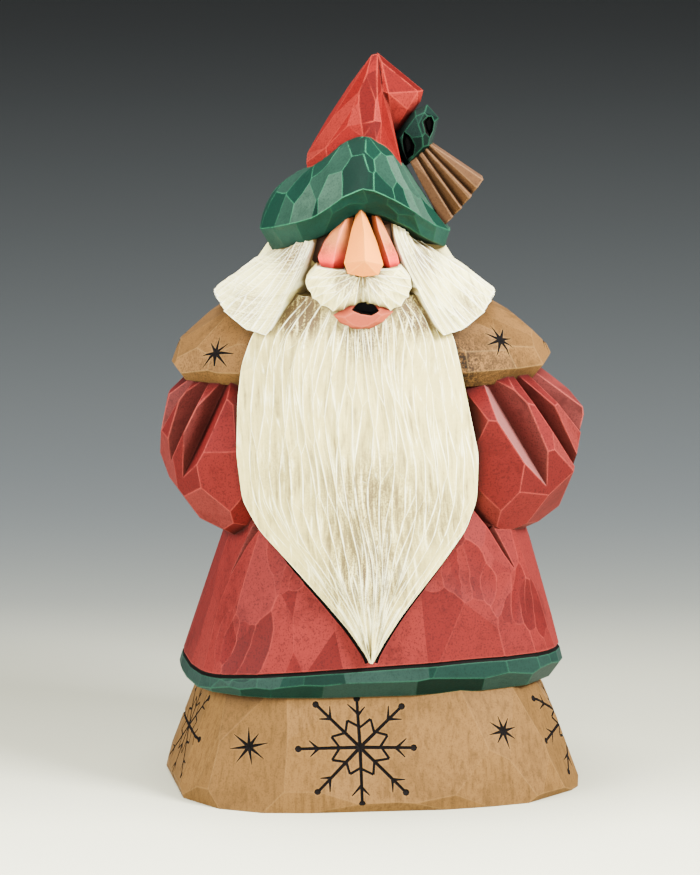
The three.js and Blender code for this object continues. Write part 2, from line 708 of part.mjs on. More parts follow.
function meshOf(name, whole, material) {
  const { numProp, vertProperties, triVerts } = whole.getMesh();
  const position = new Float32Array((vertProperties.length / numProp) * 3);
  for (let i = 0; i < position.length / 3; i++) {
    position.set(vertProperties.subarray(i * numProp, i * numProp + 3), i * 3);
  }
  const geometry = new THREE.BufferGeometry();
  geometry.setAttribute("position", new THREE.BufferAttribute(position, 3));
  geometry.setIndex(new THREE.BufferAttribute(triVerts, 1));
  const mesh = new THREE.Mesh(geometry, material);
  mesh.name = name;
  return mesh;
}

const paintedWood = new THREE.MeshStandardMaterial({ color: 0xa8332f, roughness: 0.55, metalness: 0 });
const carving = new THREE.Group();
carving.add(meshOf("santa_figure", wood(figure()), paintedWood));

export default carving;
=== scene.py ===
"""The looks of the carved santa figure: knife-cut basswood under thin matt washes of paint.

Every form is whittled as a closed piece, in millimetres, and they are joined into one carving. Broad forms
are sawn blocks cut by planes and small ones are the hulls of their corners. The beard, hair, moustache and
brim are skins scored by gouge cuts. The flakes, the hem line and the beard's outline are burned grooves.
"""

import math
import random

import bpy
import numpy as np
from mathutils import Matrix, Vector
from mathutils.bvhtree import BVHTree


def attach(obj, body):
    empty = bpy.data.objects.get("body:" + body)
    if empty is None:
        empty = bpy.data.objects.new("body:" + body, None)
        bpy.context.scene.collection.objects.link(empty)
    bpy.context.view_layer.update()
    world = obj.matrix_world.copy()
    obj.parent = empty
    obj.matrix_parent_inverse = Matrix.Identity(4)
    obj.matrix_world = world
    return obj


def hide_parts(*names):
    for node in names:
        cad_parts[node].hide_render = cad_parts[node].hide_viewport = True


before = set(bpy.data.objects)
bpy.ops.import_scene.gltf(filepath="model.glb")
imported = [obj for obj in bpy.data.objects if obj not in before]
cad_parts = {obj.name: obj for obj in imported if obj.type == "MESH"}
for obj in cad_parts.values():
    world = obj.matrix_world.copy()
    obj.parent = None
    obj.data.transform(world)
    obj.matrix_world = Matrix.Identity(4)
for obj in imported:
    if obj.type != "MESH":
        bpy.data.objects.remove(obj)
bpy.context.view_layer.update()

MM = 0.001
FULL_TURN = 360
UP = Vector((0, 0, 1))
BACKWARD = Vector((0, 1, 0))
# Corners nearer than this become one, and faces that turn less than this become one facet
WELD = 0.12
FLAT_ANGLE = math.radians(2.5)

# The paints, in the order of the carving's material slots
PAINTS = [
    "stained_wood",
    "burnt_line",
    "coat_red",
    "sleeve_red",
    "pleat_red",
    "pleat_lit_pink",
    "hem_green",
    "cape_stain",
    "beard_cream",
    "hair_cream",
    "moustache_cream",
    "lip_pink",
    "mouth_black",
    "nose_flesh",
    "face_shade",
    "cheek_rouge",
    "hat_red",
    "brim_green",
    "brim_under",
    "bow_green",
    "tassel_brown",
]
# Paints that are rubbed pale on the ridges between two gouge cuts
SCORED = ("beard_cream", "hair_cream", "moustache_cream")


def bend(value, exponent):
    return np.sign(value) * np.abs(value) ** exponent


def along(knots, place):
    """The values at a place of a line through [place, value, ...] knots, one array for each value."""
    table = np.array(knots, float)
    return [np.interp(place, table[:, 0], table[:, k]) for k in range(1, table.shape[1])]


# Whittling: blocks, knife cuts, hulls, joins


def only(ob):
    bpy.ops.object.select_all(action="DESELECT")
    ob.select_set(True)
    bpy.context.view_layer.objects.active = ob


def coat_with(ob, paint):
    """Gives a piece every paint's slot, all its faces the one named, and each facet a tone of its own."""
    mesh = ob.data
    mesh.materials.clear()
    for name in PAINTS:
        mesh.materials.append(bpy.data.materials[name])
    count = len(mesh.polygons)
    mesh.polygons.foreach_set("material_index", [PAINTS.index(paint)] * count)
    draw = random.Random(count)
    tones = mesh.attributes.new("tone", "FLOAT", "FACE")
    tones.data.foreach_set("value", [draw.random() for _ in range(count)])
    for name in ("ridge", "hollow", "lane", "run"):
        mesh.attributes.new(name, "FLOAT", "POINT")


def piece(points, faces, paint):
    """A closed mesh with its faces turned outwards: from points and faces, or the points' hull."""
    mesh = bpy.data.meshes.new("form")
    mesh.from_pydata([tuple(p) for p in points], [], faces)
    ob = bpy.data.objects.new("form", mesh)
    bpy.context.scene.collection.objects.link(ob)
    only(ob)
    bpy.ops.object.mode_set(mode="EDIT")
    bpy.ops.mesh.select_all(action="SELECT")
    if not faces:
        bpy.ops.mesh.convex_hull(join_triangles=False)
        bpy.ops.mesh.select_all(action="SELECT")
        bpy.ops.mesh.dissolve_limited(angle_limit=FLAT_ANGLE)
    bpy.ops.mesh.select_all(action="SELECT")
    bpy.ops.mesh.normals_make_consistent(inside=False)
    bpy.ops.object.mode_set(mode="OBJECT")
    coat_with(ob, paint)
    return ob


def hull(points, paint):
    return piece(points, [], paint)


def whittle(low, high, cuts, paint):
    """A sawn block between two corners, cut by planes: cuts are (place, outward direction)."""
    low, high = Vector(low), Vector(high)
    bpy.ops.object.select_all(action="DESELECT")
    bpy.ops.mesh.primitive_cube_add(size=1, location=(low + high) / 2)
    ob = bpy.context.object
    ob.scale = high - low
    bpy.ops.object.transform_apply(location=True, rotation=True, scale=True)
    bpy.ops.object.mode_set(mode="EDIT")
    for place, out in cuts:
        bpy.ops.mesh.select_all(action="SELECT")
        bpy.ops.mesh.bisect(plane_co=place, plane_no=out, use_fill=True, clear_outer=True)
    bpy.ops.mesh.select_all(action="SELECT")
    bpy.ops.mesh.remove_doubles(threshold=WELD)
    bpy.ops.object.mode_set(mode="OBJECT")
    coat_with(ob, paint)
    return ob


def merge(body, other, how):
    """Joins another piece to the body, or cuts the body with it, and uses the other piece up."""
    tool = body.modifiers.new("knife", "BOOLEAN")
    tool.operation = how
    tool.solver = "MANIFOLD"
    tool.object = other
    only(body)
    bpy.ops.object.modifier_apply(modifier=tool.name)
    bpy.data.meshes.remove(other.data)
    return body


def joined(pieces):
    body = pieces[0]
    for other in pieces[1:]:
        merge(body, other, "UNION")
    return body


def carved(body, cutters):
    """Cuts the body with one cutter after another."""
    for cutter in cutters:
        merge(body, cutter, "DIFFERENCE")
    return body


# Stacks of rounded squares, the pattern of the robe, coat, sleeves and cape


def stack_point(form, azimuth, height):
    middle, half, front, back = along(form["levels"], height)
    a = math.radians(azimuth)
    across = half * bend(math.sin(a), 2 / form["square"])
    deep = -(front if math.cos(a) > 0 else back) * bend(math.cos(a), 2 / form["square"])
    turn = math.radians(form.get("turn", 0))
    return Vector((
        middle + across * math.cos(turn) - deep * math.sin(turn),
        across * math.sin(turn) + deep * math.cos(turn),
        height + form.get("climb", 0) * across + form.get("arch", 0) * math.cos(a) ** 2,
    ))


# Half the height over which a stack's outward direction is taken
HALF_RISE = 0.8


def stack_normal(form, azimuth, height, span=4):
    here = stack_point(form, azimuth - span, height)
    around = stack_point(form, azimuth + span, height) - here
    rise = stack_point(form, azimuth, height + HALF_RISE) - stack_point(form, azimuth, height - HALF_RISE)
    return around.cross(rise).normalized()


# How far a knife cut leans by chance, and how far it strays from its even place round the stack
LEAN, STRAY = 0.035, 0.34


def knife_cuts(form, rows, seed, sink):
    """Flat cuts over a stack: rows are (height, cuts round it), each row half a cut on from the last."""
    draw = random.Random(seed)
    cuts = []
    for row, (height, count) in enumerate(rows):
        for i in range(count):
            azimuth = (i + 0.5 * (row % 2) + STRAY * draw.uniform(-1, 1)) * FULL_TURN / count
            place_height = height + draw.uniform(-1, 1) * form.get("wander", 0)
            out = stack_normal(form, azimuth, place_height)
            lean = Vector([draw.gauss(0, LEAN) for _ in range(3)])
            place = stack_point(form, azimuth, place_height) - out * sink
            cuts.append((place, (out + lean).normalized()))
    return cuts


# What a block has over its stack, to the sides and in depth
SPARE_WIDTH, SPARE_DEPTH = 6, 8


def whittled(form, rows, seed, paint, sink=0.2):
    """A stack whittled from a block that is a little wider and deeper than it."""
    levels = form["levels"]
    reach = max(level[2] for level in levels) + SPARE_WIDTH
    middle = levels[0][1]
    deep = max(max(level[3:]) for level in levels) + SPARE_DEPTH
    low, high = (middle - reach, -deep, levels[0][0]), (middle + reach, deep, levels[-1][0])
    return whittle(low, high, knife_cuts(form, rows, seed, sink), paint)


# Cuts: V cuts, scooped gouge cuts and burned lines

# How far a V cut's walls run on past the surface: its rise as a share of its depth, and its spread
V_RISE, V_SPREAD = 0.6, 1.6


def v_cut(sections, side, paint):
    """A V cut through sections [place, outward direction, width before, width after, depth]."""
    rings = []
    for place, out, before, after, depth in sections:
        across = (side - out * side.dot(out)).normalized()
        crown = place + out * depth * V_RISE
        walls = [crown - across * before * V_SPREAD, crown + across * after * V_SPREAD]
        rings.append([*walls, place - out * depth])
    return [one_tone(hull(a + b, paint)) for a, b in zip(rings, rings[1:])]


def one_tone(ob, tone=0.5):
    ob.data.attributes["tone"].data.foreach_set("value", [tone] * len(ob.data.polygons))
    return ob


# A face looks back when its direction has at least this much of the way back
LOOKS_BACK = 0.3


def toned(ob, marks):
    """Gives each face that doesn't look back the tone of the nearest mark (x, z, tone)."""
    tones = ob.data.attributes["tone"].data
    for i, face in enumerate(ob.data.polygons):
        if face.normal.y < LOOKS_BACK:
            x, _, z = face.center
            tones[i].value = min(marks, key=lambda mark: math.dist(mark[:2], (x, z)))[2]
    return ob


# How far a scoop's bowl stands out of the surface, and the points from its middle to its rim
SCOOP_RISE, SCOOP_STEPS = 1.2, 7
# A scoop's tone strays this far from the middle one, by a wave of its spin that is short enough to shuffle
SCOOP_TONES, SCOOP_SHUFFLE = 0.4, 97


def scoop(place, out, spin, radius_across, radius_along, depth, paint):
    """A shallow gouge cut: the hull of a bowl that sinks into the surface by its depth."""
    side = out.cross(UP).normalized()
    rise = side.cross(out) * -1
    turned = side * math.cos(spin) + rise * math.sin(spin)
    length = out.cross(turned)
    reach_across = math.sqrt(2 * radius_across * (depth + SCOOP_RISE))
    reach_along = math.sqrt(2 * radius_along * (depth + SCOOP_RISE))
    points = []
    steps = range(-SCOOP_STEPS, SCOOP_STEPS + 1)
    for i in steps:
        for j in steps:
            a, b = reach_across * i / SCOOP_STEPS, reach_along * j / SCOOP_STEPS
            lift = a * a / (2 * radius_across) + b * b / (2 * radius_along) - depth
            points.append(place + turned * a + length * b + out * lift)
    return one_tone(hull(points, paint), 0.5 + SCOOP_TONES * math.sin(SCOOP_SHUFFLE * spin))


# The diamond section of a burned line, as shares of its half width: out over the surface, to its
# side corners and how high they are, the sink of its floor, and the point under it as a share of the sink
BURN_OVER, BURN_SIDE, BURN_LIFT, BURN_SINK, BURN_POINT = 0.7, 1.3, 0.35, 0.55, 1.9


def burned(points, normals, widths, closed=False):
    """A burned line: a diamond section swept along the surface."""
    count = len(points)
    ring = []
    for i, (place, out, width) in enumerate(zip(points, normals, widths)):
        ahead = points[(i + 1) % count if closed else min(i + 1, count - 1)]
        behind = points[(i - 1) % count if closed else max(i - 1, 0)]
        across = (ahead - behind).cross(out).normalized()
        depth = BURN_SINK * width
        side, lift = across * width * BURN_SIDE, out * width * BURN_LIFT
        ring += [place + out * width * BURN_OVER, place + side + lift]
        ring += [place - out * depth * BURN_POINT, place - side + lift]
    faces = []
    for i in range(count if closed else count - 1):
        a, b = 4 * i, 4 * ((i + 1) % count)
        faces += [(a + k, a + (k + 1) % 4, b + (k + 1) % 4, b + k) for k in range(4)]
    if not closed:
        faces += [(0, 1, 2, 3), tuple(4 * count - 4 + k for k in (3, 2, 1, 0))]
    return piece(ring, faces, "burnt_line")


# Scored skins: each gouge cut keeps the part of the skin where it bites deepest

# Each cut is weighed against this many nearest cuts; a cell starts this far off where a skin has no sides
NEIGHBOURS, FAR_OFF = 40, 40
# Places nearer than this are the same, nearer than this to a crease on it, and up to this over it below it
SAME, ON_CREASE, BELOW_CREASE = 0.002, 0.001, 0.01
# A rubbed ridge fades near the ends of its cut: by how much, from which share of its reach, and over which
FADE, FADE_FROM, FADE_OVER = 0.9, 0.55, 0.3
# The step along a skin that finds its outward direction
NUDGE = 0.05


def clip(polygon, normal, limit):
    """The part of a polygon where point . normal >= limit."""
    kept = []
    count = len(polygon)
    gap = [p[0] * normal[0] + p[1] * normal[1] - limit for p in polygon]
    for i in range(count):
        j = (i + 1) % count
        if gap[i] >= 0:
            kept.append(polygon[i])
        if (gap[i] >= 0) != (gap[j] >= 0):
            t = gap[i] / (gap[i] - gap[j])
            a, b = polygon[i], polygon[j]
            kept.append((a[0] + (b[0] - a[0]) * t, a[1] + (b[1] - a[1]) * t))
    return kept


def bites(centres, depths, radii, low, high, period):
    """The polygon in skin units that each gouge cut keeps."""
    scale = np.array([1 / math.sqrt(radii[0]), 1 / math.sqrt(radii[1])])
    spots, deep = np.array(centres, float), np.array(depths, float)
    owner = np.arange(len(spots))
    if period:
        spots = np.concatenate([spots, spots - (period, 0), spots + (period, 0)])
        deep = np.tile(deep, 3)
        owner = np.tile(owner, 3)
    scaled = spots * scale
    found = []
    for k in range(len(centres)):
        gaps = ((scaled - scaled[k]) ** 2).sum(1)
        near = np.argsort(gaps)[1:NEIGHBOURS]
        c = scaled[k]
        left = (c[0] - FAR_OFF, c[0] + FAR_OFF) if period else (low[0] * scale[0], high[0] * scale[0])
        bottom, top = low[1] * scale[1], high[1] * scale[1]
        cell = [(left[0], bottom), (left[1], bottom), (left[1], top), (left[0], top)]
        for j in near:
            d = scaled[j]
            limit = (c @ c - d @ d) / 2 - (deep[k] - deep[j])
            cell = clip(cell, c - d, limit)
            if len(cell) < 3:
                break
        if len(cell) >= 3:
            found.append((k, [(p[0] / scale[0], p[1] / scale[1]) for p in cell]))
    return found


def zoned_bites(centres, depths, radii, low, high, period, crease):
    """The same where the skin has a crease: cuts stay on their own side of it."""
    if crease is None:
        return bites(centres, depths, radii, low, high, period), []
    found = []
    for above in (False, True):
        own = [i for i, c in enumerate(centres) if (c[1] > crease) == above]
        edges = ((low[0], crease), high) if above else (low, (high[0], crease))
        cells = bites([centres[i] for i in own], [depths[i] for i in own], radii, *edges, period)
        found += [(own[k], cell) for k, cell in cells]
    stops = {round(p[0] % period, 3) for _, cell in found for p in cell if abs(p[1] - crease) < ON_CREASE}
    return found, sorted({x + turn * period for x in stops for turn in (-1, 0, 1)})


def scored(paint, spot, centres, depths, radii, low, high, period=0, back=None, step=1.6,
           rings=(0.8, 0.45), crease=None, under=None, spread=lambda t: 1, tones_of=(), hold=lambda s: 1):
    """A skin over spot(s, t), scored by gouge cuts, and closed behind by back(s, t) or by caps.

    The radii are those of the gouge across and along the cut; spread(t) is how wide a unit of s is there,
    and hold(s) the share of a cut's depth. Each cut's cell is filled by rings, and its rim has a corner at
    least every step. Below the crease the paint is the one named under. The first cuts have tones_of.
    """
    places, bite, share, worn = {}, [], [], []
    skin, hollow = [], []
    faces, tones = [], []
    draw = random.Random(len(centres))

    def add(s, t, depth, count, down, ridge):
        skin.append((s, t))
        bite.append(depth)
        share.append(count)
        hollow.append(down)
        worn.append(ridge)
        return len(skin) - 1

    def corner(s, t, depth):
        key = (round((s % period if period else s), 3), round(t, 3))
        if period and abs(key[0] - period) < SAME:
            key = (0.0, key[1])
        if key not in places:
            places[key] = add(s, t, 0.0, 0, 0.0, 1.0)
        i = places[key]
        bite[i] += depth
        share[i] += 1
        return i

    def sunk(k, s, t):
        away = s - centres[k][0]
        if period:
            away = (away + period / 2) % period - period / 2
        across = (away * spread(t)) ** 2 / radii[0]
        lengthwise = (t - centres[k][1]) ** 2 / radii[1]
        return depths[k] - (across + lengthwise) / 2

    cells, stops = zoned_bites(centres, depths, radii, low, high, period, crease)
    for k, cell in cells:
        rim = []
        tone = tones_of[k] if k < len(tones_of) else draw.random()
        for a, b in zip(cell, cell[1:] + cell[:1]):
            near, far = sorted([a, b], key=lambda p: (round(p[0], 3), round(p[1], 3)))
            length = math.dist(a, b)
            if length < SAME:
                continue
            parts = max(1, math.ceil(length / step))
            shares = [m / parts for m in range(parts)]
            if stops and all(abs(end[1] - crease) < ON_CREASE for end in (near, far)):
                between = [x for x in stops if near[0] + SAME < x < far[0] - SAME]
                shares = [0.0] + [(x - near[0]) / (far[0] - near[0]) for x in between]
            if (near, far) != (a, b):
                shares = [1.0] + shares[:0:-1]
            for x in shares:
                s, t = near[0] + (far[0] - near[0]) * x, near[1] + (far[1] - near[1]) * x
                index = corner(s, t, max(0.0, sunk(k, s, t)))
                if not rim or rim[-1][0] != index:
                    rim.append((index, s, t))
        if len(rim) > 1 and rim[0][0] == rim[-1][0]:
            rim.pop()
        if len(rim) < 3:
            continue
        ms = sum(r[1] for r in rim) / len(rim)
        mt = sum(r[2] for r in rim) / len(rim)
        outer = [r[0] for r in rim]
        reach = max(abs(r[2] - mt) for r in rim)
        for index, _, t in rim:
            fade = np.clip((abs(t - mt) / reach - FADE_FROM) / FADE_OVER, 0, 1)
            worn[index] = min(worn[index], 1 - FADE * fade)
        for f in rings:
            inner = []
            for _, s, t in rim:
                s, t = ms + (s - ms) * f, mt + (t - mt) * f
                inner.append(add(s, t, max(0.0, sunk(k, s, t)), 1, 1 - f, 0.0))
            count = len(outer)
            for i in range(count):
                j = (i + 1) % count
                faces.append((outer[i], outer[j], inner[j], inner[i]))
            outer = inner
        floor = add(ms, mt, max(0.0, sunk(k, ms, mt)), 1, 1.0, 0.0)
        faces += [(outer[i], outer[(i + 1) % len(outer)], floor) for i in range(len(outer))]
        tones += [tone] * (len(faces) - len(tones))

    st = np.array(skin, float)
    s, t = st[:, 0], st[:, 1]
    depth = np.array(bite) / np.array(share) * hold(s)
    t_low, t_high = np.maximum(t - NUDGE, low[1]), np.minimum(t + NUDGE, high[1])
    du = spot(s + NUDGE, t) - spot(s - NUDGE, t)
    dv = spot(s, t_high) - spot(s, t_low)
    out = np.cross(du, dv)
    out /= np.maximum(np.linalg.norm(out, axis=1), 1e-9)[:, None]
    points = spot(s, t) - out * depth[:, None]

    once = {}
    for face in faces:
        for a, b in zip(face, face[1:] + face[:1]):
            once[(a, b)] = once.get((a, b), 0) + 1
    rims = [(a, b) for (a, b) in once if (b, a) not in once]
    points = list(points)
    if back is not None:
        behind = back(s, t)
        first = len(points)
        points += list(behind)
        faces += [tuple(first + i for i in reversed(face)) for face in faces]
        faces += [(b, a, first + a, first + b) for a, b in rims]
    else:
        for top in (False, True):
            rim = [(a, b) for a, b in rims if (t[a] > (low[1] + high[1]) / 2) == top]
            middle = sum((Vector(points[a]) for a, _ in rim), Vector()) / len(rim)
            points.append(middle)
            faces += [(b, a, len(points) - 1) for a, b in rim]
    ob = piece(points, faces, paint)
    if under:
        for i in range(len(tones)):
            if all(t[corner] <= crease + BELOW_CREASE for corner in faces[i]):
                ob.data.polygons[i].material_index = PAINTS.index(under)
    tones += [0.5] * (len(faces) - len(tones))
    ridge = [w if paint in SCORED else 0.0 for w in worn] + [0.0] * (len(points) - len(worn))
    hollow += [0.0] * (len(points) - len(hollow))
    beyond = [0.0] * (len(points) - len(skin))
    lane, run = list(s * spread(t)) + beyond, list(t) + beyond
    marks = {"tone": tones, "ridge": ridge, "hollow": hollow, "lane": lane, "run": run}
    for name, values in marks.items():
        ob.data.attributes[name].data.foreach_set("value", values)
    return ob


# Lower body: the robe, the coat and its hem, turned a little on the block

# A stack's levels are (height, middle, half width, depth in front, depth behind)
ROBE = {
    "turn": 8,
    "square": 3.1,
    "wander": 1.6,
    "levels": [
        (0, -0.4, 50, 36.6, 33.6),
        (1.8, -0.4, 51, 37.6, 34.6),
        (10, -0.5, 48.6, 36.2, 33.2),
        (21, -0.9, 43.4, 33, 30.4),
        (36, -0.9, 37.6, 29, 26.5),
    ],
}
COAT = {
    "turn": 8,
    "square": 2.8,
    "climb": 0.04,
    "arch": 2.8,
    "wander": 2,
    "levels": [
        (26, -0.9, 46.8, 35, 32.4),
        (28.4, -0.9, 47.4, 35.3, 32.7),
        (32.4, -0.9, 46.4, 35, 32.4),
        (40, -0.8, 44, 34.4, 31.6),
        (49, -0.6, 41.2, 33.6, 30.4),
        (61, -0.5, 37.2, 31.6, 28.4),
        (70, -0.5, 34, 29.4, 26.4),
        (84, -0.5, 28.2, 24.4, 21.6),
    ],
}
COAT_TOP = {
    "turn": 8,
    "square": 2.8,
    "levels": [
        (52, -0.5, 31, 26, 24),
        (62, -0.5, 35.6, 30, 27.4),
        (76, -1, 33.4, 28.4, 26),
        (108, -3, 28, 23, 23),
    ],
}
# The hem band: where it ends, its middle, half its width and its depth in front
HEM_TOP = 32.2
HEM_MIDDLE, HEM_HALF, HEM_DEEP = -0.9, 46, 34
# Down each side of the front panel: (azimuth, height) along the notch
NOTCHES = [[(-55, 70), (-63, 63.5), (-70, 56)], [(28, 73.5), (37, 64), (45, 54)]]


class Surface:
    """The outside of a piece, found by looking at it from a way off."""

    def __init__(self, ob):
        mesh = ob.data
        faces = [tuple(face.vertices) for face in mesh.polygons]
        self.tree = BVHTree.FromPolygons([v.co for v in mesh.vertices], faces)

    def under(self, place, toward, start):
        hit, out, _, _ = self.tree.ray_cast(place - toward * start, toward, start * 3)
        return hit, out


def hem_height(place):
    """How high a place stands on the coat's own rings, which climb to the right and arch up in front."""
    turn = math.radians(COAT["turn"])
    across = (place.x - HEM_MIDDLE) * math.cos(turn) + place.y * math.sin(turn)
    deep = -(place.x - HEM_MIDDLE) * math.sin(turn) + place.y * math.cos(turn)
    azimuth = math.atan2(across / HEM_HALF, -deep / HEM_DEEP)
    return place.z - COAT["climb"] * across - COAT["arch"] * math.cos(azimuth) ** 2


# A stroke stops where the surface turns away more than this, and has a place at least this often
GRAZING, STROKE_STEP = -0.2, 1.6
# How far off the surface a pattern's places start, and how far off its middle does
PATTERN_OFF, FRAME_OFF = 14, 60


def pressed(surface, frame_of, a, b):
    """Where a place on a pattern meets the surface, and the way outwards; None where it turns away."""
    centre, right, up = frame_of
    toward = right.cross(up) * -1
    hit, out = surface.under(centre + right * a + up * b, toward, PATTERN_OFF)
    if hit is None or out.dot(toward) > GRAZING:
        return None, None
    return hit, out


def stroke(surface, frame_of, start, end, width, taper):
    """A burned stroke between two places on a pattern, pressed onto the surface."""
    length = math.dist(start, end)
    parts = max(2, math.ceil(length / STROKE_STEP))
    places, outs, widths = [], [], []
    for m in range(parts + 1):
        f = m / parts
        a = start[0] + (end[0] - start[0]) * f
        b = start[1] + (end[1] - start[1]) * f
        hit, out = pressed(surface, frame_of, a, b)
        if hit is None:
            break
        places.append(hit)
        outs.append(out)
        widths.append(width / 2 * (1 - (1 - taper) * f))
    if len(places) < 2:
        return []
    return [burned(places, outs, widths)]


# A burned dot: its radius, and its rim and floor as (share of the radius, height over the surface)
DOT_RADIUS, DOT_CORNERS = 0.92, 8
DOT_LEVELS = [(1.25, 0.3), (0.6, -0.32)]


def dot(surface, frame_of, place):
    """A burned dot."""
    hit, out = pressed(surface, frame_of, *place)
    if hit is None:
        return []
    side = out.cross(UP).normalized()
    rise = side.cross(out)
    turns = np.linspace(0, 2 * math.pi, DOT_CORNERS + 1)[:-1]
    rim = [side * math.cos(a) + rise * math.sin(a) for a in turns]
    points = [hit + r * DOT_RADIUS * wide + out * high for wide, high in DOT_LEVELS for r in rim]
    return [hull(points, "burnt_line")]


def pattern_frame(surface, place, toward):
    """The middle and the two directions of a pattern on the surface, seen level from outside."""
    level = Vector((toward[0], toward[1], 0)).normalized()
    hit, out = surface.under(Vector(place), level, FRAME_OFF)
    right = UP.cross(out).normalized()
    return hit, right, out.cross(right)


# A flake's eight arms, and the outer and inner corners of its zigzag star
ARMS = [13.3, 13.8, 11.5, 15, 14.8, 14.8, 13.4, 15.2]
RING_OUT, RING_IN = 7.2, 4.9
# Each stroke's width and what is left of it at its end
ARM_STROKE, BARB_STROKE, RING_STROKE, RAY_STROKE = (0.95, 0.8), (0.85, 0.3), (0.72, 0.85), (1.1, 0.12)
# A barb's way, along its arm and aside
BARB_ALONG, BARB_ASIDE = 0.72, 0.7
# A star's rays, and the degrees it is turned
RAYS, STAR_TURN = 8, 12


def flake(surface, place, toward, seed):
    """A burned snowflake: eight arms with dots and barbs round a small zigzag star."""
    draw = random.Random(seed)
    spot = pattern_frame(surface, place, toward)
    made = []
    reach = [arm * draw.uniform(0.97, 1.03) for arm in ARMS]
    for i, arm in enumerate(reach):
        a = math.radians(FULL_TURN / len(ARMS) * i + draw.uniform(-2.5, 2.5))
        way, side = (math.cos(a), math.sin(a)), (-math.sin(a), math.cos(a))
        tip = (way[0] * arm, way[1] * arm)
        made += stroke(surface, spot, (0, 0), tip, *ARM_STROKE)
        made += dot(surface, spot, tip)
        for turn in (-1, 1):
            root = arm * draw.uniform(0.66, 0.72)
            long = draw.uniform(2.6, 3.4)
            start = (way[0] * root, way[1] * root)
            barb = [way[k] * BARB_ALONG + turn * side[k] * BARB_ASIDE for k in (0, 1)]
            end = (start[0] + barb[0] * long, start[1] + barb[1] * long)
            made += stroke(surface, spot, start, end, *BARB_STROKE)
    ring = []
    corners = 2 * len(ARMS)
    for i in range(corners):
        a = math.radians(FULL_TURN / corners * i + draw.uniform(-2, 2))
        r = (RING_OUT if i % 2 else RING_IN) * draw.uniform(0.95, 1.05)
        ring.append((r * math.cos(a), r * math.sin(a)))
    for i in range(corners):
        made += stroke(surface, spot, ring[i], ring[(i + 1) % corners], *RING_STROKE)
    return made


def star(surface, place, toward, seed, size):
    """A burned star of eight rays."""
    draw = random.Random(seed)
    spot = pattern_frame(surface, place, toward)
    made = []
    for i in range(RAYS):
        a = math.radians(FULL_TURN / RAYS * i + STAR_TURN + draw.uniform(-6, 6))
        r = size * draw.uniform(0.8, 1.15)
        made += stroke(surface, spot, (0, 0), (r * math.cos(a), r * math.sin(a)), *RAY_STROKE)
    return made


def stars(surface, spots):
    return [mark for spot in spots for mark in star(surface, *spot)]


# The robe's flakes and stars: a place, the level direction to look from it, a seed and a star's size
FLAKES = [
    ((-3.6, 0, 15.5), (0, 1), 1),
    ((0, -8.5, 14), (1, 0), 2),
    ((0, -6, 15), (-1, 0), 4),
    ((0, 0, 15), (0, -1), 5),
]
STARS = [
    ((-30.3, 0, 15), (0, 1), 6, 4.6),
    ((31.1, 0, 17.4), (0, 1), 7, 4.2),
    ((29, 0, 15.5), (0, -1), 8, 4.6),
    ((-27, 0, 16.5), (0, -1), 9, 4.6),
]


def make_robe():
    """The robe with its flakes and stars: each is burned where its place, seen level, meets the wood."""
    rows = [(0.9, 18), (8, 14), (19, 15), (29, 14)]
    robe = whittled(ROBE, rows, 3, "stained_wood")
    surface = Surface(robe)
    marks = [mark for spot in FLAKES for mark in flake(surface, *spot)]
    return carved(robe, marks + stars(surface, STARS))


# The coat's hem has this many bevel cuts, its front this many scoops, and its burned line this many places
HEM_CUTS, SCOOPS, LINE_STEPS = 22, 34, 150
# The corners of the coat's block, and the scoops' first azimuth, their way round, lowest height and rise
COAT_BLOCK = (-56, -46, 27.2), (54, 44, 84)
SCOOPS_FROM, SCOOPS_ROUND, SCOOPS_LOW, SCOOPS_HIGH = -66, 130, 38, 25
# Half the widths of the lines burned over the hem and beside the beard
HEM_STROKE, BEARD_STROKE = 0.5, 0.42
# Painted light: a coat facet that faces a side is paler; from this much sideways on, its tone starts here
SIDEWAYS, SIDE_LIGHT_TONE = 0.4, 0.6


def make_coat():
    """The coat: its block with the hem bevelled, its shoulders, scoops, notches and burned lines."""
    cuts = knife_cuts(COAT, [(30.2, 20), (38, 17), (46, 17), (55, 16), (64, 16), (76, 12)], 12, 0.15)
    draw = random.Random(4)
    for i in range(HEM_CUTS):
        azimuth = (i + draw.uniform(-0.3, 0.3)) * FULL_TURN / HEM_CUTS
        out = stack_normal(COAT, azimuth, 31)
        place = stack_point(COAT, azimuth, 29.2 + draw.uniform(-0.3, 0.3)) - out * 0.1
        cuts.append((place, (out - UP * 0.9).normalized()))
    coat = whittle(*COAT_BLOCK, cuts, "coat_red")
    # Facets that face the sides are painted paler, as if lit from the sides
    tones = coat.data.attributes["tone"].data
    for i, face in enumerate(coat.data.polygons):
        if abs(face.normal.x) > SIDEWAYS:
            tones[i].value = SIDE_LIGHT_TONE + (1 - SIDE_LIGHT_TONE) * tones[i].value
    shoulders = whittled(COAT_TOP, [(56, 14), (68, 14), (84, 12), (97, 12)], 14, "coat_red")
    merge(coat, shoulders, "UNION")
    carved(coat, coat_scoops() + coat_notches())
    surface = Surface(coat)
    carved(coat, [hem_line(surface), beard_outline(surface, -1), beard_outline(surface, 1)])
    green, red = PAINTS.index("hem_green"), PAINTS.index("coat_red")
    for face in coat.data.polygons:
        if face.material_index == red and hem_height(face.center) < HEM_TOP:
            face.material_index = green
    return coat


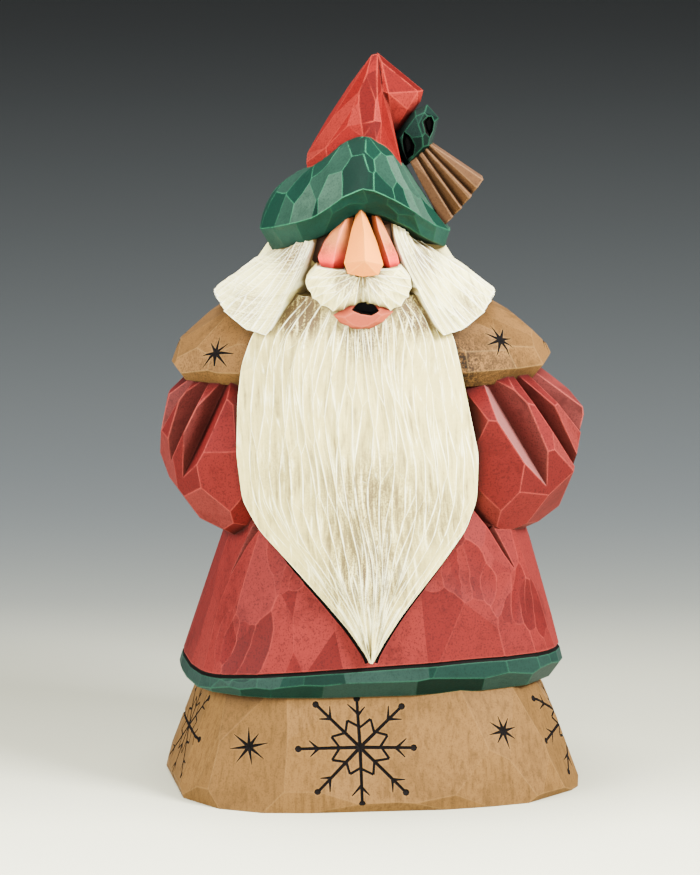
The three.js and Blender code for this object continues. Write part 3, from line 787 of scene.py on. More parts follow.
def coat_scoops():
    """Shallow scoops spread over the front by two fixed steps, so that they don't fall into rows."""
    scoops = []
    draw = random.Random(21)
    for i in range(SCOOPS):
        azimuth = SCOOPS_FROM + SCOOPS_ROUND * ((i * 0.618) % 1) + draw.uniform(-3, 3)
        height = SCOOPS_LOW + SCOOPS_HIGH * ((i * 0.382 + 0.2) % 1)
        out = stack_normal(COAT, azimuth, height, 9)
        place = stack_point(COAT, azimuth, height) - out * 0.3
        spin = draw.uniform(-0.9, 0.9)
        across, lengthwise = draw.uniform(14, 26), draw.uniform(40, 90)
        depth = draw.uniform(0.25, 0.6)
        scoops.append(scoop(place, out, spin, across, lengthwise, depth, "coat_red"))
    return scoops


def coat_notches():
    """The two V cuts beside the front panel, which fade out downwards."""
    notches = []
    for line in NOTCHES:
        sections = []
        for i, (azimuth, height) in enumerate(line):
            fade = 1 - i / (len(line) - 1)
            place, out = stack_point(COAT, azimuth, height), stack_normal(COAT, azimuth, height)
            width = 0.1 + 1.7 * fade
            sections.append((place, out, width, width, 0.9 + 2.9 * fade))
        side = (sections[-1][0] - sections[0][0]).cross(sections[0][1])
        notches += v_cut(sections, side, "pleat_red")
    return notches


def hem_line(surface):
    """The burned line all the way round, where the green hem ends."""
    places, outs = [], []
    for i in range(LINE_STEPS):
        edge = stack_point(COAT, i * FULL_TURN / LINE_STEPS, HEM_TOP)
        toward = Vector((HEM_MIDDLE - edge.x, -edge.y, 0)).normalized()
        hit, out = surface.under(edge, toward, 20)
        places.append(hit)
        outs.append(out)
    return burned(places, outs, [HEM_STROKE] * LINE_STEPS, closed=True)


def beard_outline(surface, side):
    """The burned line on the coat beside the beard, from its tip up to where the sleeve hides it."""
    places, outs = [], []
    for height in np.arange(BEARD_TIP - 0.6, 78, 1.5):
        middle, half, _, _ = beard_rows(height)
        beside = Vector((middle + side * (half + 0.5), -20, height))
        hit, out = surface.under(beside, BACKWARD, 40)
        if hit is not None and hit.y < -12:
            places.append(hit)
            outs.append(out)
    return burned(places, outs, [BEARD_STROKE] * len(places))


# Sleeves and the arms folded behind the back


def sleeve_form(side):
    """A sleeve's stack: the right one stands nearer the middle and is a little narrower."""
    right = side > 0
    middle = 30.5 if right else -32.7
    rows = [
        (61.5, -1.5, 4.8, 10, 14),
        (66, -1, 12, 19.5, 21),
        (72.5, -0.5, 16.2, 24.4, 24),
        (79.5, 0, 18.2, 27.2, 26),
        (86.5, 0, 19 if right else 19.6, 28.2, 26.5),
        (93.5, -0.3, 18.2 if right else 18.7, 26.6, 25.5),
        (100.5, -2.6 if right else -1, 14.6, 22.6, 22),
        (108, -6 if right else -4, 9, 15, 16),
    ]
    levels = [(h, middle + side * shift, half, front, back) for h, shift, half, front, back in rows]
    return {"square": 2.2, "wander": 1.4, "levels": levels}


# Pleats under the cape: (top of the valley, its lower end, the ridge inside it, the ridge outside it),
# each a place (azimuth, height) on the sleeve
LEFT_PLEATS = [
    ((-20, 103), (-49, 78), (-17, 91), (-36, 91.5)),
    ((-43, 103), (-66, 80.5), (-39.5, 91.5), (-56, 94.5)),
    ((-63, 103), (-80, 87.5), (-61, 95), (-78, 96)),
]
RIGHT_PLEATS = [
    ((-3, 104), (36, 77), (3, 90.5), (25, 93)),
    ((33, 104), (68, 80.5), (32, 93.5), (51, 93)),
    ((55, 104), (80, 87.5), (56, 96), (75, 95.5)),
]
BACK_PLEATS = [
    ((104, 103), (96, 82), (98, 92), (114, 93)),
    ((130, 103), (118, 80), (117, 90), (138, 92)),
]
# How far the top of a valley is sunk, and how far its walls run, in times the way to their ridges
PLEAT_SINK, WALL_REACH = 1.1, 3
# How far a cut starts before the top and ends past the lower end, and the tone of its walls
PLEAT_BEFORE, PLEAT_PAST, PLEAT_TONE = 5, 0.6, 0.3


# Two directions are the same when their dot product is over this
SAME_WAY = 0.98


def pleat_cut(form, pleat, lit):
    """A straight V cut whose walls meet the sleeve at the two ridges, the inner wall in the paint lit."""
    places = [stack_point(form, *spot) for spot in pleat]
    outs = [stack_normal(form, *spot) for spot in pleat]
    top, end = places[0] - outs[0] * PLEAT_SINK, places[1]
    down = (end - top).normalized()
    start, stop = top - down * PLEAT_BEFORE, end + down * PLEAT_PAST
    middle = (top + end) / 2
    points = [start, stop]
    for ridge in places[2:]:
        rise = ridge - middle
        rise = (rise - down * rise.dot(down)) * WALL_REACH
        points += [start + rise, stop + rise]
    cut = one_tone(hull(points, "pleat_red"), PLEAT_TONE)
    inner = (places[2] - middle).cross(down).normalized()
    if inner.dot(places[3] - places[2]) > 0:
        inner = -inner
    for face in cut.data.polygons:
        if face.normal.dot(inner) > SAME_WAY:
            face.material_index = PAINTS.index(lit)
    return cut


def make_sleeve(side, pleats):
    form = sleeve_form(side)
    rows = [(64.5, 8), (72, 9), (81, 9), (92, 9), (101.5, 9)]
    sleeve = whittled(form, rows, 30 + side, "sleeve_red", sink=0.3)
    back = [tuple((side * azimuth, height) for azimuth, height in pleat) for pleat in BACK_PLEATS]
    # The right sleeve's inner pleat walls get a paler pink: painted light
    lit = "pleat_lit_pink" if side > 0 else "sleeve_red"
    return carved(sleeve, [pleat_cut(form, pleat, lit) for pleat in pleats + back])


def make_forearm(side):
    elbow = [(44, 8, 76), (46, 8, 84), (44, 16, 72), (44, 18, 86), (38, 25, 74), (36, 25, 87)]
    armpit = [(30, 6, 68), (30, 4, 92)]
    fold = [(24, 29, 66), (25, 34, 73), (24, 33, 82), (22, 27, 87), (20, 20, 63)]
    wrist = [(9, 24, 65), (9, 24, 80), (10, 34, 67), (10, 37, 73), (10, 34.5, 79)]
    return hull([(side * x - 1, y, z) for x, y, z in elbow + armpit + fold + wrist], "sleeve_red")


def make_cuff(side):
    points = []
    for x, grow in ((7.5, 0.3), (11.8, 0.9)):
        inner = [(24, 63 - grow), (24, 81 + grow)]
        outer = [(34.4 + grow, 65.4 - grow), (37.6 + grow, 73), (34.8 + grow, 80.6 + grow)]
        points += [(side * x - 1, y, z) for y, z in inner + outer]
    return hull(points, "hem_green")


def make_mittens():
    under = [
        (9, 24, 66), (9, 34, 68), (9, 36, 76), (0, 38, 77), (-6, 37.4, 75), (-8, 34, 70), (-4, 36, 66),
        (4, 36, 65.6), (-8, 24, 66), (8, 24, 79), (-6, 24, 79),
    ]
    over = [
        (-9, 26, 68), (-9, 35, 70), (-9, 36, 77.6), (-2, 39.6, 79), (4, 39.4, 76.6),
        (5.6, 38, 73), (2, 39, 69.6), (-4, 38.6, 68.6), (5, 28, 78), (-8, 28, 80),
    ]
    hands = [hull([(x - 1, y, z) for x, y, z in places], "bow_green") for places in (under, over)]
    return joined(hands)


CAPE = {
    "square": 2.5,
    "climb": 0.012,
    "arch": 0.7,
    "wander": 0.5,
    "levels": [
        (101.2, -3.6, 43.4, 26.8, 27.2),
        (104.4, -3.6, 46, 29.2, 29),
        (109, -3.8, 44, 28.4, 28.4),
        (114.5, -4, 38, 26, 26.4),
        (119, -4.4, 31.5, 23.5, 24),
        (125, -5, 20, 20, 20),
    ],
}


# The cape's stars, as the robe's: two in front, three behind and one at each side
CAPE_STARS = [
    ((-38.1, 0, 109), (0, 1), 40, 4.4),
    ((30, 0, 111.9), (0, 1), 41, 4.4),
    ((37, 0, 108), (0, -1), 42, 4.4),
    ((-37, 0, 108), (0, -1), 43, 4.4),
    ((0, 0, 108.5), (0, -1), 44, 4.4),
    ((0, 2, 109), (1, 0), 49, 4.2),
    ((0, 2, 109), (-1, 0), 51, 4.2),
]


def make_cape():
    rows = [(102.6, 18), (107, 16), (112, 15), (117, 12), (122, 10)]
    cape = whittled(CAPE, rows, 17, "cape_stain")
    return carved(cape, stars(Surface(cape), CAPE_STARS))


# Head, nose, cheeks and mouth

HEAD = {
    "square": 2.6,
    "levels": [
        (98, -4.5, 18, 20, 18),
        (118, -4.8, 17, 25, 21),
        (128, -4.6, 15.5, 29.4, 16),
        (140, -4.6, 15, 29, 14),
        (150, -4.6, 9, 15, 7),
    ],
}
NAPE = {
    "square": 2.2,
    "levels": [
        (98, -4.9, 22, 16, 22),
        (117, -4.9, 29, 22, 25),
        (124, -4.9, 28, 20, 24),
        (139, -4.9, 18, 15, 18),
        (150, -4.9, 9, 9, 9),
    ],
}


def make_head():
    head = whittled(HEAD, [(105, 10), (122, 12), (134, 12), (145, 10)], 5, "face_shade")
    cream = PAINTS.index("beard_cream")
    for face in head.data.polygons:
        if face.center.z < 128:
            face.material_index = cream
    nape = whittled(NAPE, [(108, 14), (120, 16), (131, 14), (145, 12)], 9, "hair_cream", sink=1)
    return joined([head, nape])


def make_nose():
    """The wedge nose: its sides [height, left x, right x, depth], its bridge, its wings and its root."""
    sides = [
        (144.6, -4.3, -2.8, -30.4), (142, -4.9, -1.9, -31.4),
        (139.9, -5.7, -0.9, -32.4), (137.3, -6.2, 0.3, -33.4),
    ]
    points = [(x, y, z) for z, *pair, y in sides for x in pair]
    bridge = [(-3.5, -32.4, 144.6), (-2.7, -37.8, 139.9), (-2.6, -42, 134)]
    wings = [
        (-7.4, -36, 132.7), (1.8, -36, 132.3), (-6.5, -36.6, 130.2), (-3, -38, 129.7), (0.6, -36.6, 129.9),
    ]
    root = [(-6, -27, 131), (0, -27, 131), (-3, -27, 145)]
    nose = hull(points + bridge + wings + root, "nose_flesh")
    # Painted shade: the nose's lower facets are darker, and its left side darker than its right
    return toned(nose, [(-5, 138, 0.35), (-1, 138, 0.7), (-3, 131.4, 0)])


# Cheeks: [height, inner x, ridge x, outer x, depth of the ridge], each side of the nose
LEFT_CHEEK = [
    (143, -5.2, -6.6, -8, -30.6), (140, -5.3, -8.4, -9.9, -32.2), (136.8, -6, -9.1, -12.1, -34),
    (133.4, -6.6, -9.7, -13.5, -34.6), (131.2, -7.4, -9.9, -12.9, -33.6), (129.8, -8, -9.6, -11, -32.2),
]
RIGHT_CHEEK = [
    (143, -1, 0, 0.8, -30.6), (139.8, -0.6, 0.7, 2, -32), (136.8, 0.4, 1.8, 3.8, -33.4),
    (133.6, 1.2, 2.9, 5.2, -34.2), (131.8, 1.8, 3.3, 5.6, -33.6), (130.4, 2.4, 3.4, 4.6, -32.2),
]


def make_cheek(rows):
    points = []
    for height, inner, ridge, outer, y in rows:
        points += [(inner, y + 1.9, height), (ridge, y, height), (outer, y + 2.6, height)]
        points += [(inner, -24, height), (outer, -24, height)]
    side = 1 if rows[0][1] > rows[0][3] else -1
    _, inner, _, outer, _ = rows[2]
    # Painted shade: each cheek's inner facet, beside the nose, is darker than its outer one
    return toned(hull(points, "cheek_rouge"), [(inner + side * 0.1, 136, 0.2), (outer, 136, 0.6)])


def drawn_in(outline, y, middle=(0, 0), wide=1, high=1):
    """An outline at a depth, drawn in towards its middle by a share of its width and of its height."""
    x0, z0 = middle
    return [(x0 + (x - x0) * wide, y, z0 + (z - z0) * high) for x, z in outline]


def make_lip():
    upper = [(-10, 120.2), (-6, 122.4), (2, 122.4), (4.2, 121)]
    lower = [(1.8, 118.6), (-1, 117), (-3.6, 116.6), (-6, 117), (-8.4, 118.4)]
    points = drawn_in(upper + lower, -34.6) + drawn_in(upper + lower, -37.2, (-3.2, 119.6), 0.62, 0.62)
    return hull(points + [(-8, -28, 119), (2, -28, 119), (-3, -28, 123)], "lip_pink")


def mouth_cut():
    rim = [
        (-6.2, 121.6), (-4.6, 123), (-2.4, 123.6), (0, 122.9), (1.4, 121.4), (-0.8, 120.2), (-3.6, 120.6),
    ]
    return hull(drawn_in(rim, -44) + drawn_in(rim, -33, (-2.4, 121.8), 0.8, 0.8), "mouth_black")


# Beard: a skin over a rounded wedge, with long gouge cuts that run down it

# Each row: (height, middle, half width, depth under its edge, depth of its crown)
BEARD_TIP = 36.8
BEARD = [
    (BEARD_TIP, -0.9, 0.5, -33.8, -36.6),
    (44, -1.2, 5, -33.6, -37.6),
    (50, -1.6, 9.6, -33.2, -38.2),
    (61, -2.2, 18.8, -32, -39),
    (68, -3, 24.6, -30.6, -39.4),
    (75, -3.7, 27.9, -29.4, -39.7),
    (86, -4.2, 28.8, -28.8, -39.7),
    (99, -5.4, 27.3, -27.6, -38.2),
    (107, -5.8, 26, -25.5, -36.6),
    (114, -5.4, 24, -24.5, -35),
    (119, -4.8, 20.5, -24, -33.6),
    (124, -4.4, 15, -24, -31.5),
]
# Half the skin's width in its own units, its top's height, its back's depth, and the gouge's radii
BEARD_HALF, BEARD_TOP, BEARD_BACK, BEARD_GOUGE = 27, 124, -19, (1.7, 110)
# How far a row of cuts stands over the last, how far the cuts stray from it, and how wide each one is
BEARD_ROW, BEARD_STRAY, BEARD_CUT = 12, 6.5, 2.6


def beard_rows(height):
    """The beard's rows with the corners between them eased."""
    below, here, above = (along(BEARD, height + step) for step in (-1.4, 0, 1.4))
    return [(a + 2 * b + c) / 4 for a, b, c in zip(below, here, above)]


def beard_spot(s, height):
    """A place on the beard, which sways a little from side to side on its way down."""
    u = np.clip(s / BEARD_HALF, -1, 1)
    middle, half, edge, crown = beard_rows(height)
    sway = 0.9 * np.sin(height / 7.5 + 7 * u) * (1 - u * u) * np.minimum(1, half / 20)
    y = edge + (crown - edge) * (1 - np.abs(u) ** 2.3) - 1.6
    return np.stack([middle + half * u + sway, y, height], 1)


def beard_back(s, height):
    points = beard_spot(s, height)
    points[:, 0] = points[:, 0] * 0.985 - 0.05
    points[:, 1] = BEARD_BACK
    return points


def make_beard():
    draw = random.Random(7)
    centres, depths = [], []
    height = BEARD_TIP - 2
    while height < BEARD_TOP + 6:
        half = float(along(BEARD, height)[1])
        count = max(1, round(2 * half / BEARD_CUT))
        for i in range(count):
            u = 2 * (i + 0.5 + draw.uniform(-0.36, 0.36)) / count - 1
            centres.append((BEARD_HALF * u, height + draw.uniform(-BEARD_STRAY, BEARD_STRAY)))
            depths.append(0.65 + 0.35 * draw.random())
        height += BEARD_ROW
    low, high = (-BEARD_HALF, BEARD_TIP), (BEARD_HALF, BEARD_TOP)
    return scored("beard_cream", beard_spot, centres, depths, BEARD_GOUGE, low, high,
                  back=beard_back, spread=lambda t: beard_rows(t)[1] / BEARD_HALF,
                  hold=lambda s: 1.1 - np.abs(s / BEARD_HALF) ** 6)


# Hair: a bell from the brim to the cape, with short gouge cuts down it

# Its middle, and at each share of the way to the back its top and its bottom: (share, x, y, z, x, y, z)
HAIR_MIDDLE = -4.9
# The skin's own units, round the head and down it, the wall's thickness, and the gouge's radii
HAIR_ROUND, HAIR_DROP, HAIR_WALL, HAIR_GOUGE = 120, 25, 9, (2.2, 70)
HAIR = [
    (0, 9.3, -27, 140.8, 21.2, -31.6, 115),
    (0.1, 11.5, -25.8, 139.8, 26, -29.5, 116.2),
    (0.22, 13.5, -23, 138, 31, -23, 119.2),
    (0.34, 14, -13, 137, 34.2, -12.5, 122.6),
    (0.48, 14, 0, 137, 34, 0, 122),
    (0.7, 13, 12, 138, 29, 18, 119),
    (0.86, 8, 18.5, 138.5, 17, 28.5, 117),
    (1, 0, 20.5, 139, 0, 31, 116),
]


def hair_place(s, t, inward):
    """A place on the bell of hair, or a way inside it: it opens and swells a little on its way down."""
    turn = np.clip(s / HAIR_ROUND, 0, 1)
    down = np.clip(1 - t / HAIR_DROP, 0, 1)
    side = np.where(turn < 0.5, 1, -1)
    share = 1 - np.abs(1 - 2 * turn)
    x0, y0, z0, x1, y1, z1 = along(HAIR, share)
    spread = down ** (1.05 + 0.45 * np.clip((0.26 - share) / 0.12, 0, 1))
    belly = 0.9 * np.sin(math.pi * down) - inward
    length = np.hypot(x0 + x1, y0 + y1)
    x = HAIR_MIDDLE + side * (x0 + (x1 - x0) * spread + belly * (x0 + x1) / length)
    y = y0 + (y1 - y0) * spread + belly * (y0 + y1) / length
    return np.stack([x, y, z0 + (z1 - z0) * down], 1)


def hair_spot(s, t):
    return hair_place(s, t, 0)


def hair_back(s, t):
    points = hair_place(s, t, HAIR_WALL)
    points[:, 2] += np.where(t < 0.02, 2.2, 0)
    return points


def make_hair():
    draw = random.Random(11)
    centres, depths = [], []
    for row, t in enumerate((1, 11, 21)):
        count = 54 - 5 * row
        for i in range(count):
            s = HAIR_ROUND * (i + 0.5 + draw.uniform(-0.3, 0.3)) / count
            centres.append((s, t + draw.uniform(-4, 4)))
            depths.append(0.75 + 0.5 * draw.random())
    return scored("hair_cream", hair_spot, centres, depths, HAIR_GOUGE, (0, 0), (HAIR_ROUND, HAIR_DROP),
                  back=hair_back, spread=lambda t: 1.6 - 0.9 * t / HAIR_DROP)


# Moustache: two lobes whose cuts fan out from under the nose

# Its root (x, height), and its outline round it (bearing from straight down, reach)
MOUSTACHE_ROOT = (-3.2, 130.6)
MOUSTACHE_REACH = [
    (-95, 10.8), (-88, 12.2), (-78, 13.8), (-64, 13.4), (-50, 12.6), (-31, 11.5), (-14, 8.8), (0, 7.6),
    (7, 7.5), (19, 9), (35, 11.5), (48, 12.4), (60, 12.6), (73, 12.4), (85, 11), (95, 9.2),
]
# Half the fan's round and its reach in the skin's own units, and the degrees it opens to each side
FAN_HALF, FAN_REACH, FAN_TURN = 20, 12, 95
# The depths of its outline and of its back, and the gouge's radii across and along its cuts
MOUSTACHE_DEPTH, MOUSTACHE_BACK, MOUSTACHE_GOUGE = -32.6, -24, (1.7, 40)


def moustache_spot(s, t):
    """A place on the moustache: by its bearing from the root and its share of the reach."""
    bearing = np.clip(s / FAN_HALF, -1, 1) * FAN_TURN
    reach = np.interp(bearing, *np.array(MOUSTACHE_REACH, float).T)
    f = np.clip(1 - t / FAN_REACH, 0, 1) * 0.86 + 0.14
    a = np.radians(bearing)
    lobe = 1 - 0.4 * np.exp(-(bearing / 22) ** 2) - 0.25 * (np.abs(bearing) / FAN_TURN) ** 4
    bulge = 4.6 * lobe * np.sin(math.pi * (0.34 + 0.5 * f ** 2.2))
    x = MOUSTACHE_ROOT[0] + reach * f * np.sin(a)
    z = MOUSTACHE_ROOT[1] - reach * f * np.cos(a)
    return np.stack([x, MOUSTACHE_DEPTH - bulge, z], 1)


def moustache_back(s, t):
    points = moustache_spot(s, t)
    points[:, 1] = MOUSTACHE_BACK
    return points


def make_moustache():
    draw = random.Random(13)
    centres, depths = [], []
    for row, t in enumerate((1.5, 8)):
        count = 16 - 4 * row
        for i in range(count):
            s = FAN_HALF * (2 * (i + 0.5 + draw.uniform(-0.25, 0.25)) / count - 1)
            centres.append((s, t + draw.uniform(-2, 2)))
            depths.append(0.45 + 0.25 * draw.random())
    low, high = (-FAN_HALF, 0), (FAN_HALF, FAN_REACH)
    return scored("moustache_cream", moustache_spot, centres, depths, MOUSTACHE_GOUGE, low, high,
                  back=moustache_back, step=1.2, spread=lambda t: 1.2 - 0.07 * t)


# Brim: a rolled band with its crest in front, cut in facets by a broad gouge

# Each place round it: (azimuth, crest height, bulge height, join with the hat, lower edge)
BRIM = [
    (-180, 140, 146.5, 152, 135.5),
    (-130, 138.4, 146.4, 151.8, 133.2),
    (-90, 136.8, 145.4, 151.6, 131.7),
    (-73, 137.7, 146.4, 152.2, 132.4),
    (-54, 139.5, 147.6, 152.8, 134.2),
    (-38, 141.3, 150, 155.4, 136),
    (-27, 142.8, 152.2, 157.2, 137.6),
    (-19, 144.6, 154.2, 158.4, 139),
    (-10, 147.4, 156.2, 159.4, 141.4),
    (-3, 149.8, 157.4, 160, 143.5),
    (4, 150.2, 158, 160.2, 144.2),
    (12, 149.6, 157.4, 160, 143.4),
    (24, 147.2, 155.6, 159, 141.7),
    (33, 145.2, 153.4, 157.6, 140),
    (42, 142.8, 150.8, 156, 138),
    (52, 140.4, 148.2, 154, 136.2),
    (70, 137.6, 145.2, 152.4, 133.6),
    (90, 136.2, 143.6, 151.6, 132.3),
    (130, 137.6, 145.4, 151.8, 133.2),
    (180, 140, 146.5, 152, 135.5),
]
# A skin's own units: the way round, from the crest up and from the crest down to the edge
BRIM_ROUND, BRIM_RISE, BAND_RISE = 150, 14, 9
# Where on the way up the bulge is, how far back the brim's middle stands, and the gouge's radii
BULGE_SHARE, BRIM_BACK, BRIM_GOUGE = 0.45, 2, (16, 13)


def brim_rings(s):
    azimuth = (s * FULL_TURN / BRIM_ROUND + 180) % FULL_TURN - 180
    crest, bulge, join, low = along(BRIM, azimuth)
    a = np.radians(azimuth)
    front = np.clip(np.cos(a) * 4 + 0.5, 0, 1)

    def ring(middle, half, fore, rear, height):
        deep = fore * front + rear * (1 - front)
        return np.stack([middle + half * np.sin(a), -deep * np.cos(a) - BRIM_BACK, height], 1)

    wide = 20.4 - 3.4 * np.clip(np.sin(a) * 3 + 0.5, 0, 1)
    return (
        ring(-4, 21.2, 29.4, 25, low),
        ring(-4.8, 23.3, 35, 28.6, crest),
        ring(-4.2, wide, 23.5, 22, bulge),
        ring(-3.9, 11.8, 12, 12.4, join),
    )


def brim_spot(s, t):
    """From the lower edge over the crest (t = 0) and the bulge to the join with the hat."""
    low, crest, bulge, join = brim_rings(s)
    f = np.clip(t / BRIM_RISE, 0, 1)[:, None]
    m = BULGE_SHARE
    crown = (
        crest * (f - m) * (f - 1) / m
        + bulge * f * (f - 1) / (m * (m - 1))
        + join * f * (f - m) / (1 - m)
    )
    g = np.clip(-t / BAND_RISE, 0, 1)[:, None]
    return np.where(f > 0, crown, crest + (low - crest) * g)


# The cuts on the front of the brim: (s, t, depth, tone); the tones are partly the paint's own, partly
# painted light and shade
BRIM_FRONT = [
    (-26.5, 3, 0.8, 0.3), (-20.5, 2, 0.6, 0.6), (-14, 1.8, 0.7, 0.75), (-10, 0.6, 0.35, 0.1),
    (-6, 1.4, 0.75, 0.75), (-10.8, 4.4, 0.5, 0.6), (-0.5, 2.2, 0.9, 0), (0, 8.2, 0.6, 0.15),
    (-4.8, 6.5, 0.6, 0.6), (-18, 6.2, 0.7, 0.42), (3.5, 1.2, 0.45, 0), (4, 4.3, 0.45, 0.15),
    (9, 4.4, 0.75, 0.6), (5.6, 7.7, 0.6, 0.45), (7.6, 0.9, 0.65, 0.2), (12.6, 0.9, 0.6, 0.25),
    (16.2, 1.2, 0.6, 0.8), (20.7, 1.5, 0.7, 0.7), (25.6, 1.6, 0.6, 0.35), (14, 6, 0.7, 0.85),
    (20, 7, 0.7, 0.65), (-26, 8.5, 0.7, 0.6), (-12, 10, 0.7, 0.5), (10, 11, 0.7, 0.4), (27, 8, 0.7, 0.7),
    (5.5, -1.6, 0.5, 0.1), (10.5, -2.2, 0.5, 0.15), (-11, -3, 0.5, 0.65), (-20, -3, 0.5, 0.9),
    (-1, -2.4, 0.5, 0.45), (7, -6.5, 0.5, 0.1), (20, -4.2, 0.5, 0.6), (-3, -6.8, 0.5, 0.4),
    (14, -6.5, 0.4, 0.2), (27, -4, 0.4, 0.9), (-27, -4, 0.4, 1),
]

# The rows of cuts behind: (t, cuts in it), and where they start and how far they go round
BRIM_REAR = [(-4.6, 8), (3, 11), (9, 9)]
REAR_START, REAR_ROUND = 34, 83


def make_brim():
    """The brim, with its cuts listed one by one in front and placed by chance behind."""
    draw = random.Random(5)
    cuts = list(BRIM_FRONT)
    for t, count in BRIM_REAR:
        for i in range(count):
            s = REAR_START + REAR_ROUND * (i + 0.5 + draw.uniform(-0.3, 0.3)) / count
            cuts.append((s, t + draw.uniform(-1.4, 1.4) * (t > 0), draw.uniform(0.4, 0.9), draw.random()))
    centres = [(s % BRIM_ROUND, t) for s, t, _, _ in cuts]
    depths, tones = [cut[2] for cut in cuts], [cut[3] for cut in cuts]
    low, high = (0, -BAND_RISE), (BRIM_ROUND, BRIM_RISE)
    return scored("brim_green", brim_spot, centres, depths, BRIM_GOUGE, low, high, period=BRIM_ROUND,
                  step=2.4, rings=(0.5,), crease=0, under="brim_under", tones_of=tones)


# Hat: a cone of broad facets, its tail folded over to the right, the bow and the pleated tassel

# The tones of the cone's facets and of the tail's: (x, z, tone); partly the paint's own tone, partly
# painted light and shade
HAT_TONES = [
    (-0.6, 177.4, 0.15), (-0.5, 175.9, 0.5), (0.6, 173.9, 0.6), (1, 172.8, 0.1), (2.9, 167.3, 0.7),
    (-1.9, 167.2, 0.05), (-5.7, 171.2, 0.6), (3.2, 162.1, 0.25), (-0.4, 159, 0), (-3.3, 170.6, 0),
    (-4.8, 164.8, 0.75), (0.4, 170.3, 0), (0.8, 166.8, 1), (1.2, 167.6, 0.4), (-13.8, 153.2, 0.65),
    (-0.3, 172.7, 0), (3.1, 155.7, 0.5), (-4.1, 172, 0.3), (-7.1, 156.8, 0.4), (-7.7, 164.4, 0.7),
    (-12.7, 158.8, 0.7), (-4.4, 168.1, 0.6), (-11.8, 161.9, 0.4), (0.5, 164.9, 1), (0.5, 162.1, 0),
    (0.9, 158.5, 0.4), (-1.7, 155.3, 0.4), (-14.9, 155, 0.9), (-8, 161.8, 0.45), (-4.3, 161.7, 0.6),
    (-2.1, 162.2, 0),
]
TAIL_TONES = [
    (7.6, 172.9, 0), (10.8, 168.9, 0.7), (9.3, 166.8, 1), (1.3, 175.3, 0.6), (4.2, 175.3, 0),
    (5.1, 172.2, 0.2), (7.2, 168.4, 0.75), (9.4, 165.2, 0.7), (0.9, 170.1, 0.3), (1.4, 164.3, 0),
    (3, 164.8, 0), (2.2, 168.4, 0), (2.2, 172.2, 0.4), (5.1, 164.9, 0.7), (7, 163.3, 0.9),
    (4.8, 161, 0.2), (4.3, 157, 0.5),
]


def make_hat():
    """The cone: its tip, the facets of its front panel, its left side, its foot and its back."""
    tip = [(-0.8, 0.6, 178.4), (0.8, 0.6, 178.8), (1.2, 4.5, 176), (-1.4, 3.8, 176.2)]
    panel = [
        (-1.8, -2.5, 175.1), (0.4, -2.7, 175.1), (-2.1, -3.6, 173.9), (0.4, -3.8, 173.8),
        (-3.8, -6.2, 170.2), (1.6, -5, 170.4), (-5.4, -8.3, 166.2), (-3.9, -8.1, 167.8),
        (0.2, -8.5, 168), (0.6, -7.4, 169.1), (-3.3, -11.7, 162.9), (-0.2, -11.6, 163.6),
        (1.5, -10.4, 163.2), (4.5, -9, 158), (6.4, -9.6, 152.6),
    ]
    left = [
        (-6.3, 0.2, 171), (-9.9, -5.2, 164.3), (-11.3, 0.5, 163.4), (-6.7, -10.3, 162.2),
        (-14.9, -2, 157.5), (-16.3, -3.5, 155), (-16.5, -5, 153), (-16.2, -6, 151), (-11.9, -9.9, 157),
    ]
    foot = [
        (-10.6, -13, 152), (-3.4, -16.4, 153), (1, -16, 153), (6.8, -10, 151), (-2.8, -13.6, 160),
        (0.3, -13.4, 159.4),
    ]
    rear = [
        (-15.6, 4, 151), (-12.6, 11.4, 151), (-2, 14, 151), (7, 7, 151), (-9.6, 5, 163), (-3, 8, 168),
    ]
    return toned(hull(tip + panel + left + foot + rear, "hat_red"), HAT_TONES)


def make_tail():
    """The tip folded over: its top, its end and, below, the wall that leans back into the fold."""
    top = [
        (0.6, 0.6, 179), (1.6, -1.4, 176.9), (3.1, 1.2, 176.2), (8.3, 1.6, 172.2), (3, 5, 174.5),
        (1, 4.5, 176.5),
    ]
    front = [
        (1.8, -4.8, 170.1), (3.3, -5.2, 169.7), (10.4, -2.2, 169.9), (8.8, -2.2, 165),
        (7.9, -3.2, 165.6),
    ]
    end = [
        (11.7, 0.3, 169.9), (11.1, 0.5, 167.3), (10.2, -1.5, 166.8), (10.6, 4, 168.6),
    ]
    under = [
        (7.3, -1, 161.7), (4.2, -2, 159.3), (2.8, -2.8, 161.8), (1.4, -3.6, 165.4),
        (8, 5, 162), (4, 6, 159),
    ]
    stem = [
        (1, 1, 168), (8, 2.4, 165), (8, 3, 158), (4, 3, 155), (1, 2, 158), (2, 9, 157), (8, 8, 161),
    ]
    tail = toned(hull(top + front + end + under + [(0, 6, 166)], "hat_red"), TAIL_TONES)
    return joined([tail, hull(stem, "hat_red")])


# The bow: its middle, its outline and the outline's (depth, share of its width, share of its height); its
# two hollows, each an outline and the middle it is drawn in to; and its facets' tones
BOW = (10.2, 159)
BOW_OUTLINE = [
    (4.2, 158.8), (7.5, 161.8), (9.6, 165.6), (12.6, 166.8), (15.4, 163.6),
    (14.6, 160), (13.8, 156.8), (7.4, 151.8), (5.4, 155.2),
]
BOW_LEVELS = [(-3.4, 1, 1), (-6.6, 0.72, 0.8), (5, 0.7, 0.75)]
LOW_HOLLOW = [
    (6.6, 161.4), (8.6, 159.8), (9.9, 157.4), (9.6, 154.8), (7.6, 152.9), (6.6, 155.5), (6.2, 158.5),
]
HIGH_HOLLOW = [
    (11.2, 163.2), (12.6, 164.7), (14, 165), (14.7, 162.8), (14.4, 160.2), (13.2, 158.6), (12, 160.2),
]
HOLLOWS = [(LOW_HOLLOW, (8, 157.2)), (HIGH_HOLLOW, (13, 162))]
# The bow's facet tones are partly the paint's own, partly painted light and shade
BOW_TONES = [
    (9.6, 161.6, 0.55), (12, 162.8, 0), (10.6, 157.6, 0), (12.6, 158, 0.1), (13.9, 160.5, 1),
    (11, 165.5, 0.6),
]


